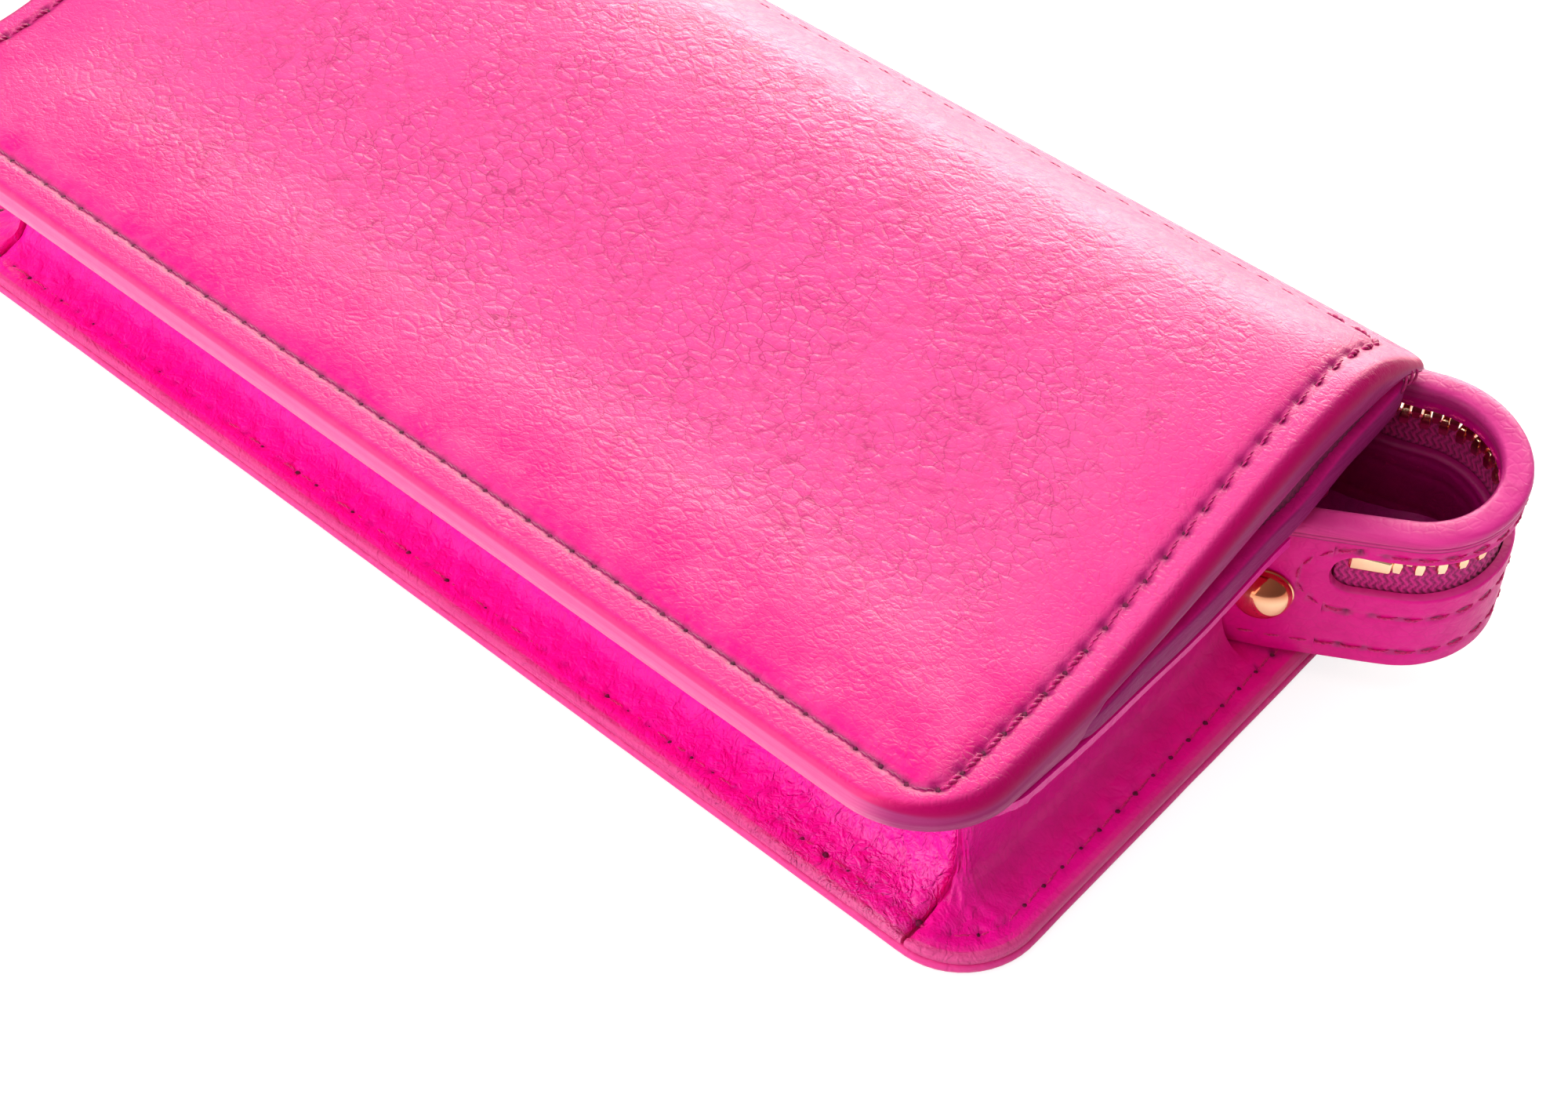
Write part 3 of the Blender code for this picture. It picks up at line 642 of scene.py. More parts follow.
# ---------------------------------------------------------------- shader helper
class Shader:
    """A short way to write shader nodes. Sizes and depths are in mm."""

    def __init__(self, name, colour, rough=0.5, metal=0.0):
        self.mat = bpy.data.materials.new(name)
        self.mat.use_nodes = True
        self.tree = self.mat.node_tree
        self.bsdf = self.tree.nodes["Principled BSDF"]
        self.set(Base_Color=colour, Roughness=rough, Metallic=metal)
        self.mat.diffuse_color = (*colour, 1)
        self.coord = self.node("ShaderNodeTexCoord").outputs["Object"]

    def node(self, kind, **props):
        node = self.tree.nodes.new(kind)
        for key, value in props.items():
            setattr(node, key, value)
        return node

    def put(self, socket, value):
        if isinstance(value, bpy.types.NodeSocket):
            self.tree.links.new(value, socket)
        elif isinstance(value, tuple) and len(value) == 3 and len(socket.default_value) == 4:
            socket.default_value = (*value, 1)
        else:
            socket.default_value = value

    def set(self, **inputs):
        for key, value in inputs.items():
            self.put(self.bsdf.inputs[key.replace("_", " ")], value)

    def math(self, op, a, b=0.0):
        node = self.node("ShaderNodeMath", operation=op)
        self.put(node.inputs[0], a)
        self.put(node.inputs[1], b)
        return node.outputs[0]

    def times(self, a, b):
        return self.math("MULTIPLY", a, b)

    def plus(self, a, b):
        return self.math("ADD", a, b)

    def minus(self, a, b):
        return self.math("SUBTRACT", a, b)

    def scaled(self, value, factor, base):
        """value * factor + base"""
        return self.plus(self.times(value, factor), base)

    def attr(self, name):
        return self.node("ShaderNodeAttribute", attribute_name=name).outputs["Fac"]

    def axis_of(self, vector, axis):
        node = self.node("ShaderNodeSeparateXYZ")
        self.put(node.inputs[0], vector)
        return node.outputs[axis]

    def geometry(self, output):
        return self.node("ShaderNodeNewGeometry").outputs[output]

    def noise(self, size, detail=3.0, rough=0.55, coord=None, distort=0.0):
        node = self.node("ShaderNodeTexNoise")
        self.put(node.inputs["Vector"], coord or self.coord)
        node.inputs["Scale"].default_value = 1000.0 / size
        node.inputs["Detail"].default_value = detail
        node.inputs["Roughness"].default_value = rough
        node.inputs["Distortion"].default_value = distort
        return node.outputs["Fac"]

    def stretched(self, scale, turn=(0, 0, 0)):
        node = self.node("ShaderNodeMapping")
        self.put(node.inputs["Vector"], self.coord)
        node.inputs["Scale"].default_value = scale
        node.inputs["Rotation"].default_value = turn
        return node.outputs[0]

    def cells(self, size, coord=None, warp=0.25):
        """Distance to the edges of Voronoi cells on a warped coordinate."""
        coord = coord or self.coord
        noise = self.node("ShaderNodeTexNoise")
        self.put(noise.inputs["Vector"], coord)
        noise.inputs["Scale"].default_value = 500.0 / size
        noise.inputs["Detail"].default_value = 2.0
        warped = self.mix(warp * size * MM, coord, noise.outputs["Color"], "LINEAR_LIGHT")
        node = self.node("ShaderNodeTexVoronoi", feature="DISTANCE_TO_EDGE")
        self.put(node.inputs["Vector"], warped)
        node.inputs["Scale"].default_value = 1000.0 / size
        return node.outputs["Distance"]

    def ramp(self, value, low, high, at_low=0.0, at_high=1.0):
        """Smooth step between the outputs at_low and at_high."""
        node = self.node("ShaderNodeMapRange", interpolation_type="SMOOTHSTEP")
        self.put(node.inputs["Value"], value)
        for key, number in (("From Min", low), ("From Max", high), ("To Min", at_low),
                            ("To Max", at_high)):
            self.put(node.inputs[key], number)
        return node.outputs["Result"]

    def lines(self, value, width):
        """1 where value is 0, falling to 0 at width."""
        return self.ramp(value, 0.0, width, at_low=1.0, at_high=0.0)

    def mix(self, factor, a, b, blend="MIX"):
        node = self.node("ShaderNodeMix", data_type="RGBA", blend_type=blend)
        self.put(node.inputs["Factor"], factor)
        self.put(node.inputs["A"], a)
        self.put(node.inputs["B"], b)
        return node.outputs["Result"]

    def tint(self, colour, mask, amount, toward):
        """Mixes colour toward another by mask * amount."""
        return self.mix(self.times(mask, amount), colour, toward)

    def facing_end(self, low, high):
        """1 where a surface faces +X or -X, 0 where it faces up, down, front or back."""
        across = self.axis_of(self.geometry("Normal"), 0)
        return self.ramp(self.math("ABSOLUTE", across), low, high)

    def along(self, axis, start, end, at_start=0.0, at_end=1.0):
        """A value that changes along one axis of the object."""
        return self.ramp(self.axis_of(self.coord, axis), start * MM, end * MM, at_start, at_end)

    def bump(self, *parts):
        """Each part is (height socket, depth)."""
        last = None
        for height, depth in parts:
            node = self.node("ShaderNodeBump")
            node.inputs["Strength"].default_value = 1.0
            node.inputs["Distance"].default_value = depth * MM
            self.put(node.inputs["Height"], height)
            if last is not None:
                self.put(node.inputs["Normal"], last)
            last = node.outputs["Normal"]
        self.set(Normal=last)


# ---------------------------------------------------------------- materials
def cover_leather():
    """Pebbled leather with edge paint; painted shade in its creases, needle holes and stitch groove, and on walls that
    face the ends.
    """
    m = Shader("cover_leather", (0.84, 0.02, 0.24), 0.5)
    base, deep, pale = (0.87, 0.040, 0.275), (0.47, 0.0, 0.12), (0.89, 0.085, 0.325)
    crease, edge, rich, hole = m.attr("crease"), m.attr("edge"), m.attr("rich"), m.attr("hole")
    core = m.attr("core")
    patch = m.noise(22)
    mottle = m.noise(1.3, detail=4.0, rough=0.65)
    # three sizes of pebble; the two larger ones fade in and out in patches
    big = m.cells(2.5, m.stretched((1.0, 1.45, 1.0), (0, 0, 0.45)), warp=0.55)
    mid = m.cells(1.4, m.stretched((1.0, 1.3, 1.0), (0, 0, -0.3)), warp=0.5)
    fine = m.cells(0.8, m.stretched((1.0, 1.2, 1.0), (0, 0, 0.5)), warp=0.4)
    broken_big = m.ramp(m.noise(7, detail=2.0), 0.36, 0.56)
    broken_mid = m.ramp(
        m.noise(4.5, detail=2.0, rough=0.5, coord=m.stretched((1.1, 0.9, 1.0))), 0.46, 0.64)
    lines_big = m.times(m.lines(big, 0.045), m.times(core, m.scaled(broken_big, 0.75, 0.25)))
    lines_mid = m.times(m.lines(mid, 0.05), m.times(broken_mid, m.scaled(core, 0.7, 0.3)))

    col = m.mix(m.ramp(patch, 0.3, 0.7, at_high=0.35), base, pale)
    col = m.mix(m.ramp(mottle, 0.35, 0.75, at_high=0.22), col, (0.80, 0.012, 0.215))
    # the grain's lines and the crease attribute darken the colour toward deep: painted shade in the creases
    col = m.tint(col, lines_big, 0.85, deep)
    col = m.tint(col, lines_mid, 0.66, deep)
    col = m.tint(col, m.lines(fine, 0.06), 0.07, deep)
    col = m.tint(col, crease, 0.58, deep)
    col = m.tint(col, rich, m.ramp(mottle, 0.25, 0.6, at_low=0.35), (0.88, 0.002, 0.225))
    # the hole attribute darkens the needle holes and the stitch groove: painted shade
    col = m.tint(col, hole, 0.8, (0.24, 0.0, 0.085))
    streak = m.noise(1.0, rough=0.6, coord=m.stretched((0.06, 0.06, 2.2)))
    paint = m.mix(m.ramp(streak, 0.3, 0.7), (0.80, 0.085, 0.31), (0.70, 0.055, 0.26))
    rim_line = m.times(m.ramp(edge, 0.10, 0.36), m.ramp(edge, 0.58, 0.86, 1.0, 0.0))
    col = m.mix(m.ramp(edge, 0.25, 0.75), col, paint)
    col = m.tint(col, rim_line, 0.95, (0.86, 0.0, 0.17))
    # painted shade: walls that face the ends are multiplied darker and more purple
    end_shade_mask = m.facing_end(0.06, 0.46)
    col = m.mix(end_shade_mask, col, (0.54, 0.42, 0.60), "MULTIPLY")

    rough = m.plus(m.ramp(mottle, 0.3, 0.7, at_low=0.42, at_high=0.54), m.times(crease, 0.15))
    rough = m.minus(rough, m.times(m.ramp(edge, 0.3, 0.8), 0.08))
    dull = m.math("MAXIMUM", m.times(rich, 0.32), m.times(end_shade_mask, 0.36))
    m.set(Base_Color=col,
          Roughness=m.minus(rough, 0.03),
          Sheen_Weight=0.0,
          Coat_Weight=m.minus(0.05, m.times(m.math("MAXIMUM", rich, end_shade_mask), 0.05)),
          Coat_Roughness=0.4,
          Specular_IOR_Level=m.minus(0.45, dull))

    off_edge = m.ramp(edge, 0.2, 0.6, at_low=1.0, at_high=0.15)
    high_big = m.times(m.times(m.ramp(big, 0.0, 0.27), core), m.scaled(broken_big, 0.6, 0.4))
    high_mid = m.times(m.ramp(mid, 0.0, 0.24), m.times(off_edge, m.scaled(broken_mid, 0.7, 0.3)))
    high_fine = m.times(m.ramp(fine, 0.0, 0.18), off_edge)
    pores = m.times(m.noise(0.35, rough=0.6), off_edge)
    m.bump((high_big, 0.085), (high_mid, 0.046), (high_fine, 0.022), (pores, 0.014),
           (m.times(m.ramp(streak, 0.3, 0.7), edge), 0.012))
    return m.mat


def leather(name, base, deep, pale, *, rough, grain, line, depth, coat, mottle, sheen, spec=0.3,
            paint=None, streaks=(0.06, 0.06, 2.2), gloss=None, end_shade_tint=None, inside_tint=None,
            wrinkle=0.0, wrinkle_along=None):
    """Fine-grained leather.

    grain and mottle are sizes, line the width of the grain's lines, depth the grain's bump.
    paint gives two colours for the cut edges; streaks is the stretch of the brush marks.
    gloss changes spec and coat along X. end_shade_tint multiplies the colour as painted shade where the surface faces
    an end; inside_tint multiplies it where the "inside" attribute is 1.
    """
    m = Shader(name, base, 0.45)
    mottling = m.noise(mottle, detail=4.0, rough=0.65)
    col = m.mix(m.ramp(m.noise(14), 0.3, 0.7, at_high=0.6), base, pale)
    col = m.mix(m.ramp(mottling, 0.35, 0.75, at_high=0.4), col, deep)
    pebbles = m.cells(grain, warp=0.4)
    lines = m.times(m.lines(pebbles, line), m.ramp(m.noise(5, detail=2.0), 0.4, 0.62))
    # the grain's lines and the crease attribute darken toward deep: painted shade in the creases
    col = m.tint(col, lines, 0.35, deep)
    col = m.tint(col, m.attr("crease"), 0.55, deep)
    bumps = [(m.ramp(pebbles, 0.0, 0.2), depth), (m.noise(0.4, rough=0.6), 0.014)]
    if paint is not None:
        edge = m.attr("edge")
        streak = m.noise(1.0, rough=0.6, coord=m.stretched(streaks))
        painted = m.mix(m.ramp(streak, 0.3, 0.7), *paint)
        col = m.mix(m.ramp(edge, 0.25, 0.75), col, painted)
        bumps.append((m.times(m.ramp(streak, 0.3, 0.7), edge), 0.02))
    # the hole attribute darkens needle holes as painted shade; on the band it also marks two dark layer lines under
    # the rim
    col = m.tint(col, m.attr("hole"), 0.85, (0.09, 0.0, 0.035))
    # painted shade: walls that face the ends are multiplied by end_shade_tint
    if end_shade_tint is not None:
        col = m.mix(m.facing_end(0.35, 0.92), col, end_shade_tint, "MULTIPLY")
    if inside_tint is not None:
        col = m.mix(m.attr("inside"), col, inside_tint, "MULTIPLY")
    if wrinkle:
        # short sharp crinkles, fine over coarse
        for size, share in ((3.4, 1.0), (1.5, 0.5)):
            folds = m.noise(size, rough=0.6, coord=m.stretched((1.0, 1.0, 0.55)), distort=0.8)
            height = m.ramp(m.math("ABSOLUTE", m.minus(folds, 0.5)), 0.0, 0.16)
            height = m.times(height, m.along(**wrinkle_along))
            bumps.append((height, wrinkle * share))
    if gloss is not None:
        reach = m.along(0, gloss["start"], gloss["end"])
        coat = m.plus(coat, m.times(reach, gloss["coat"] - coat))
        spec = m.plus(spec, m.times(reach, gloss["spec"] - spec))
    m.set(Base_Color=col, Roughness=m.ramp(mottling, 0.3, 0.7, *rough), Coat_Weight=coat,
          Coat_Roughness=0.28, Sheen_Weight=sheen, Sheen_Roughness=0.5,
          Sheen_Tint=(1.0, 0.5, 0.75), Specular_IOR_Level=spec)
    m.bump(*bumps)
    return m.mat


def lining_twill():
    """Two crossed sets of ribs."""
    base, deep, fuzz_tone = (0.33, 0.003, 0.13), (0.15, 0.0, 0.055), (0.515, 0.0245, 0.215)
    rib, angle = 0.7, 0.785
    m = Shader("lining_twill", base, 0.85)

    def ribs(turn, spacing):
        node = m.node("ShaderNodeTexWave", wave_type="BANDS", bands_direction="X",
                      wave_profile="SIN")
        m.put(node.inputs["Vector"], m.stretched((1, 1, 1), turn))
        node.inputs["Scale"].default_value = 1000.0 / spacing / 6.283 * 2
        node.inputs["Distortion"].default_value = 0.6
        return node

    fine = ribs((0.3, 0.0, angle), rib)
    fine.inputs["Detail"].default_value = 1.0
    coarse = ribs((0.0, 0.3, -angle), rib * 1.6)
    height = m.times(fine.outputs["Fac"], m.ramp(coarse.outputs["Fac"], 0, 1, at_low=0.6))
    fuzz = m.noise(0.5)
    # darker where the ribs are low: painted shade
    col = m.mix(height, deep, base)
    col = m.mix(m.ramp(m.noise(9, detail=2.0), 0.3, 0.7, at_high=0.35), col, deep)
    col = m.mix(m.ramp(fuzz, 0.4, 0.7, at_high=0.3), col, fuzz_tone)
    m.set(Base_Color=col, Sheen_Weight=0.4, Sheen_Roughness=0.4, Sheen_Tint=(1.0, 0.6, 0.8))
    m.bump((height, 0.05), (fuzz, 0.02))
    return m.mat


def tape_weave(name, low, high, fuzz, sheen):
    """Woven tape: its ribs are geometry; the shader adds yarns, fuzz and colour that is darker between the ribs as
    painted shade.
    """
    m = Shader(name, (0.42, 0.0, 0.15), 0.8)
    yarn = m.noise(0.28, detail=2.0, rough=0.5)
    # the colour follows the ribs, darker in their valleys: painted shade
    col = m.mix(m.attr("rib"), low, high)
    col = m.mix(m.ramp(yarn, 0.4, 0.7, at_high=0.35), col, fuzz)
    m.set(Base_Color=col, Sheen_Weight=sheen, Sheen_Roughness=0.35, Sheen_Tint=(1, 0.6, 0.8))
    m.bump((yarn, 0.03))
    return m.mat


def thread(name, base, deep, front_shade_y=None):
    """Spun thread; front_shade_y is the y at and before which it darkens as painted shade."""
    m = Shader(name, base, 0.55)
    yarn = m.noise(0.25, detail=2.0, rough=0.5, coord=m.stretched((1, 1, 1)))
    col = m.mix(m.ramp(yarn, 0.35, 0.65), deep, base)
    pale_spots = m.ramp(m.noise(1.6, detail=2.0), 0.45, 0.8, at_high=0.35)
    col = m.mix(pale_spots, col, (0.80, 0.03, 0.28))
    if front_shade_y is not None:
        # painted shade on the front row of stitches
        shade = m.along(1, front_shade_y, front_shade_y + 1.2, at_start=0.85, at_end=0.0)
        col = m.mix(shade, col, (0.32, 0.0, 0.11))
    m.set(Base_Color=col, Sheen_Weight=0.1, Sheen_Roughness=0.3)
    m.bump((yarn, 0.03))
    return m.mat


def needle_hole_shade():
    m = Shader("needle_hole_shade", (0.13, 0.0, 0.045), 0.8)
    tone = m.ramp(m.noise(0.5, detail=2.0), 0.3, 0.7)
    m.set(Base_Color=m.mix(tone, (0.07, 0.0, 0.025), (0.20, 0.0, 0.06)))
    m.bump((m.noise(0.3, detail=2.0), 0.02))
    return m.mat


def gold(name, tone, rough, top=0.0):
    """Polished metal, paler on sharp edges, with painted reflections: redder at grazing angles and, by top, dark red
    on faces that look up.
    """
    m = Shader(name, tone, rough, 1.0)
    haze = m.noise(3.0)
    scratch = m.noise(0.6, rough=0.6, coord=m.stretched((0.15, 1.0, 1.0), (0.2, 0.4, 0.8)))
    col = m.mix(m.ramp(haze, 0.3, 0.7, at_high=0.5), tone, (0.98, 0.72, 0.47))
    # paler on sharp convex edges
    sharp_edge_pale = m.ramp(m.geometry("Pointiness"), 0.52, 0.60, at_high=0.5)
    col = m.mix(sharp_edge_pale, col, (1.0, 0.86, 0.68))
    weight = m.node("ShaderNodeLayerWeight")
    weight.inputs["Blend"].default_value = 0.5
    # painted reflection: redder at grazing angles
    grazing_reflection = m.ramp(weight.outputs["Facing"], 0.35, 0.95, at_high=0.75)
    col = m.mix(grazing_reflection, col, (0.80, 0.20, 0.05))
    # painted reflection: upward faces darken toward dark red
    if top:
        upward = m.axis_of(m.geometry("Normal"), 2)
        col = m.mix(m.ramp(upward, 0.12, 0.50, at_high=top), col, (0.46, 0.05, 0.012))
    m.set(Base_Color=col, Roughness=m.ramp(haze, 0.3, 0.75, rough * 0.7, rough * 1.6))
    m.bump((scratch, 0.0015))
    return m.mat


def bonded_board():
    m = Shader("bonded_board", (0.32, 0.27, 0.22), 0.9)
    fibre = m.noise(0.9, detail=4.0, rough=0.7, coord=m.stretched((0.3, 1, 1)))
    tone = m.ramp(fibre, 0.3, 0.7)
    m.set(Base_Color=m.mix(tone, (0.22, 0.18, 0.14), (0.44, 0.38, 0.31)))
    m.bump((fibre, 0.05))
    return m.mat


EDGE_PAINT = ((0.80, 0.075, 0.30), (0.68, 0.045, 0.24))
COVER_LEATHER = cover_leather()
FRONT_LEATHER = leather(
    "front_strip_leather", (0.98, 0.003, 0.38), (0.86, 0.0, 0.31), (0.98, 0.010, 0.41),
    rough=(0.28, 0.44), grain=1.1, line=0.06, depth=0.03, coat=0.0, mottle=1.6, sheen=0.0,
    spec=0.10, paint=EDGE_PAINT, gloss=dict(start=50.0, end=90.0, spec=0.62, coat=0.0),
    wrinkle=0.21, wrinkle_along=dict(axis=0, start=30.0, end=82.0, at_start=0.40, at_end=1.0))
SIDE_LEATHER = leather(
    "side_leather", (0.92, 0.001, 0.33), (0.64, 0.0, 0.21), (0.94, 0.004, 0.36),
    rough=(0.34, 0.46), grain=1.6, line=0.035, depth=0.022, coat=0.05, mottle=3.0, sheen=0.02,
    spec=0.24, paint=EDGE_PAINT,
    wrinkle=0.10, wrinkle_along=dict(axis=1, start=-50.0, end=-24.0, at_start=1.0, at_end=0.25))
# a darker copy of the gusset leather for the folds inside the loops: painted shade
SHADED_FOLD_LEATHER = leather(
    "fold_leather", (0.42, 0.0, 0.17), (0.20, 0.0, 0.08), (0.50, 0.002, 0.21),
    rough=(0.36, 0.5), grain=1.4, line=0.05, depth=0.02, coat=0.03, mottle=2.4, sheen=0.0,
    spec=0.12)
BAND_LEATHER = leather(
    "band_leather", (0.90, 0.001, 0.295), (0.66, 0.0, 0.20), (0.92, 0.004, 0.33),
    rough=(0.36, 0.48), grain=1.3, line=0.05, depth=0.02, coat=0.06, mottle=2.2, sheen=0.0,
    spec=0.25, paint=((0.82, 0.045, 0.31), (0.70, 0.022, 0.25)), inside_tint=(0.40, 0.2, 0.42))
# end_shade_tint gives painted shade on the walls that face the ends
PANEL_LEATHER = leather(
    "inner_panel_leather", (0.76, 0.006, 0.25), (0.50, 0.0, 0.16), (0.82, 0.02, 0.28),
    rough=(0.40, 0.52), grain=1.3, line=0.05, depth=0.02, coat=0.0, mottle=2.0, sheen=0.0,
    spec=0.07, paint=((0.74, 0.05, 0.31), (0.62, 0.025, 0.25)), end_shade_tint=(0.50, 0.50, 0.56))
BOTTOM_LEATHER = leather(
    "bottom_leather", (0.86, 0.02, 0.25), (0.55, 0.0, 0.15), (0.88, 0.06, 0.31),
    rough=(0.42, 0.55), grain=2.2, line=0.06, depth=0.06, coat=0.05, mottle=2.0, sheen=0.0,
    paint=((0.86, 0.05, 0.31), (0.80, 0.035, 0.28)), streaks=(0.05, 0.05, 0.8))
POCKET_LEATHER = leather(
    "pocket_leather", (0.66, 0.003, 0.21), (0.40, 0.0, 0.13), (0.76, 0.03, 0.29),
    rough=(0.38, 0.5), grain=1.2, line=0.05, depth=0.025, coat=0.1, mottle=2.0, sheen=0.2,
    paint=EDGE_PAINT)
LINING = lining_twill()
TAPE = tape_weave("zip_tape_weave", low=(0.20, 0.0, 0.07), high=(0.84, 0.02, 0.30),
                  fuzz=(0.78, 0.06, 0.36), sheen=0.5)
# very dark trim: its own dark magenta, with painted shade of the gap it sits in
TRIM = tape_weave("pocket_trim_weave", low=(0.035, 0.0, 0.015), high=(0.30, 0.0, 0.10),
                  fuzz=(0.26, 0.004, 0.10), sheen=0.1)
THREAD = thread("thread_tonal", (0.80, 0.008, 0.225), (0.52, 0.0, 0.13))
# the front row of this thread gets painted shade
COVER_THREAD = thread("thread_cover", (0.68, 0.002, 0.20), (0.36, 0.0, 0.10), front_shade_y=-47.2)
SHADED_THREAD = thread("thread_in_shade", (0.62, 0.0, 0.18), (0.34, 0.0, 0.09))
HOLE_SHADE = needle_hole_shade()
GOLD = gold("rose_gold", (1.0, 0.58, 0.31), rough=0.12)
# top gives a painted dark red reflection on the dome's upper side
RIVET_GOLD = gold("rivet_gold", (1.0, 0.60, 0.33), rough=0.10, top=0.85)
TEETH_GOLD = gold("teeth_gold", (1.0, 0.56, 0.24), rough=0.18)
BOARD = bonded_board()

# ---------------------------------------------------------------- the padded cover
STITCH_HALF_X = COVER_HALF_X - 4.9
STITCH_FRONT, STITCH_BACK = COVER_FRONT + 4.6, COVER_BACK - 4.6
STITCH_PLAN = (STITCH_HALF_X, STITCH_FRONT, STITCH_BACK, 3.6, 3.0)


def inside_stitches(x, y):
    """Distance inside the cover's stitch row, negative outside it."""
    return -rounded_distance(x, y, *STITCH_PLAN)


def inflated_pad():
    """Blows up a thin pad held at its border and underside; gives (x, y, lift) of its top."""
    bm = bmesh.new()
    bmesh.ops.create_cube(bm, size=1.0)
    middle = Matrix.Translation((0, (STITCH_FRONT + STITCH_BACK) / 2 * MM, 0))
    length, width = 2 * STITCH_HALF_X * MM, (STITCH_BACK - STITCH_FRONT) * MM
    bm.transform(middle @ Matrix.Diagonal((length, width, 0.007, 1)))
    me = bpy.data.meshes.new("swell_pad")
    bm.to_mesh(me)
    bm.free()
    pad = bpy.data.objects.new("swell_pad", me)
    scene.collection.objects.link(pad)
    bpy.context.view_layer.objects.active = pad
    remesh = pad.modifiers.new("remesh", "REMESH")
    remesh.mode = "VOXEL"
    remesh.voxel_size = 0.0045
    graph = bpy.context.evaluated_depsgraph_get()
    dense = bpy.data.meshes.new_from_object(pad.evaluated_get(graph))
    pad.modifiers.clear()
    pad.data = dense
    rest = np.array([vert.co for vert in dense.vertices])
    hold = pad.vertex_groups.new(name="hold")
    inside = inside_stitches(rest[:, 0] / MM, rest[:, 1] / MM)
    for i, place in enumerate(rest):
        if inside[i] < 2.5 or place[2] < 0:
            hold.add([i], 1.0, "REPLACE")
    cloth = pad.modifiers.new("cloth", "CLOTH")
    settings = cloth.settings
    settings.vertex_group_mass = "hold"
    settings.use_pressure = True
    settings.uniform_pressure_force = 4.0
    settings.effector_weights.gravity = 0.0
    settings.tension_stiffness = settings.compression_stiffness = 40.0
    settings.bending_stiffness = 3.0
    settings.quality = 6
    cloth.point_cache.frame_start, cloth.point_cache.frame_end = 1, 20
    for step in range(1, 21):
        scene.frame_set(step)
    graph = bpy.context.evaluated_depsgraph_get()
    done = np.array([vert.co for vert in pad.evaluated_get(graph).data.vertices])
    scene.frame_set(1)
    top = rest[:, 2] > 0.002
    bpy.data.objects.remove(pad)
    return rest[top, 0] / MM, rest[top, 1] / MM, (done[top, 2] - rest[top, 2]) / MM


def cover_swell():
    """How far the leather swells between its stitches: a function of (x, y), about 0 to 1."""

    def dome(x, y):
        return ease(inside_stitches(x, y) / 26.0)

    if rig.quick():
        return dome
    pad_x, pad_y, lift = inflated_pad()
    # a failed or flat simulation falls back to the plain dome
    if not np.isfinite(lift).all() or np.percentile(lift, 90) < 0.05:
        return dome
    lift = np.clip(lift / np.percentile(lift, 95), -0.2, 1.25)
    spacing, blur = 3.0, 3.4
    cols = np.arange(-STITCH_HALF_X, STITCH_HALF_X + 0.01, spacing)
    rows = np.arange(STITCH_FRONT, STITCH_BACK + 0.01, spacing)
    field = np.zeros((len(cols), len(rows)))
    for i, at_x in enumerate(cols):
        for j, at_y in enumerate(rows):
            weight = np.exp(-((pad_x - at_x) ** 2 + (pad_y - at_y) ** 2) / (2 * blur**2))
            field[i, j] = (weight * lift).sum() / max(weight.sum(), 1e-9)

    def swell(x, y):
        col = np.clip((x - cols[0]) / spacing, 0, len(cols) - 1.001)
        row = np.clip((y - rows[0]) / spacing, 0, len(rows) - 1.001)
        i, j = np.floor(col).astype(int), np.floor(row).astype(int)
        a, b = col - i, row - j
        front = field[i, j] * (1 - a) + field[i + 1, j] * a
        back = field[i, j + 1] * (1 - a) + field[i + 1, j + 1] * a
        return (front * (1 - b) + back * b) * ease(inside_stitches(x, y) / 3.0)

    return swell


SWELL = cover_swell()
STITCH_LINE = rounded_path(*STITCH_PLAN, 0.3)
HOLES = hole_places(STITCH_LINE)


def nearest_hole(x, y):
    """Distance to the nearest needle hole, for points near the stitch row; 9 elsewhere."""
    out = np.full(x.shape, 9.0)
    flat, flat_x, flat_y = out.ravel(), x.ravel(), y.ravel()
    near = np.nonzero(np.abs(inside_stitches(flat_x, flat_y)) < 1.6)[0]
    for start in range(0, len(near), 4000):
        part = near[start:start + 4000]
        away_x = flat_x[part][:, None] - HOLES[None, :, 0]
        flat[part] = np.hypot(away_x, flat_y[part][:, None] - HOLES[None, :, 1]).min(1)
    return flat.reshape(x.shape)


# longer folds across the middle: (x, y, angle, half length)
FOLDS = ((52, 4, 0.5, 22), (44, 12, -0.15, 26), (60, 16, 1.0, 16), (36, -4, 0.2, 20),
         (64, -6, -0.5, 18), (20, 8, 0.1, 24), (-8, -2, -0.3, 26), (-38, 10, 0.25, 24),
         (-60, 2, -0.2, 20), (28, 22, 0.05, 22))


def turned_plan(x, y, angle):
    cos, sin = math.cos(angle), math.sin(angle)
    return x * cos + y * sin, -x * sin + y * cos


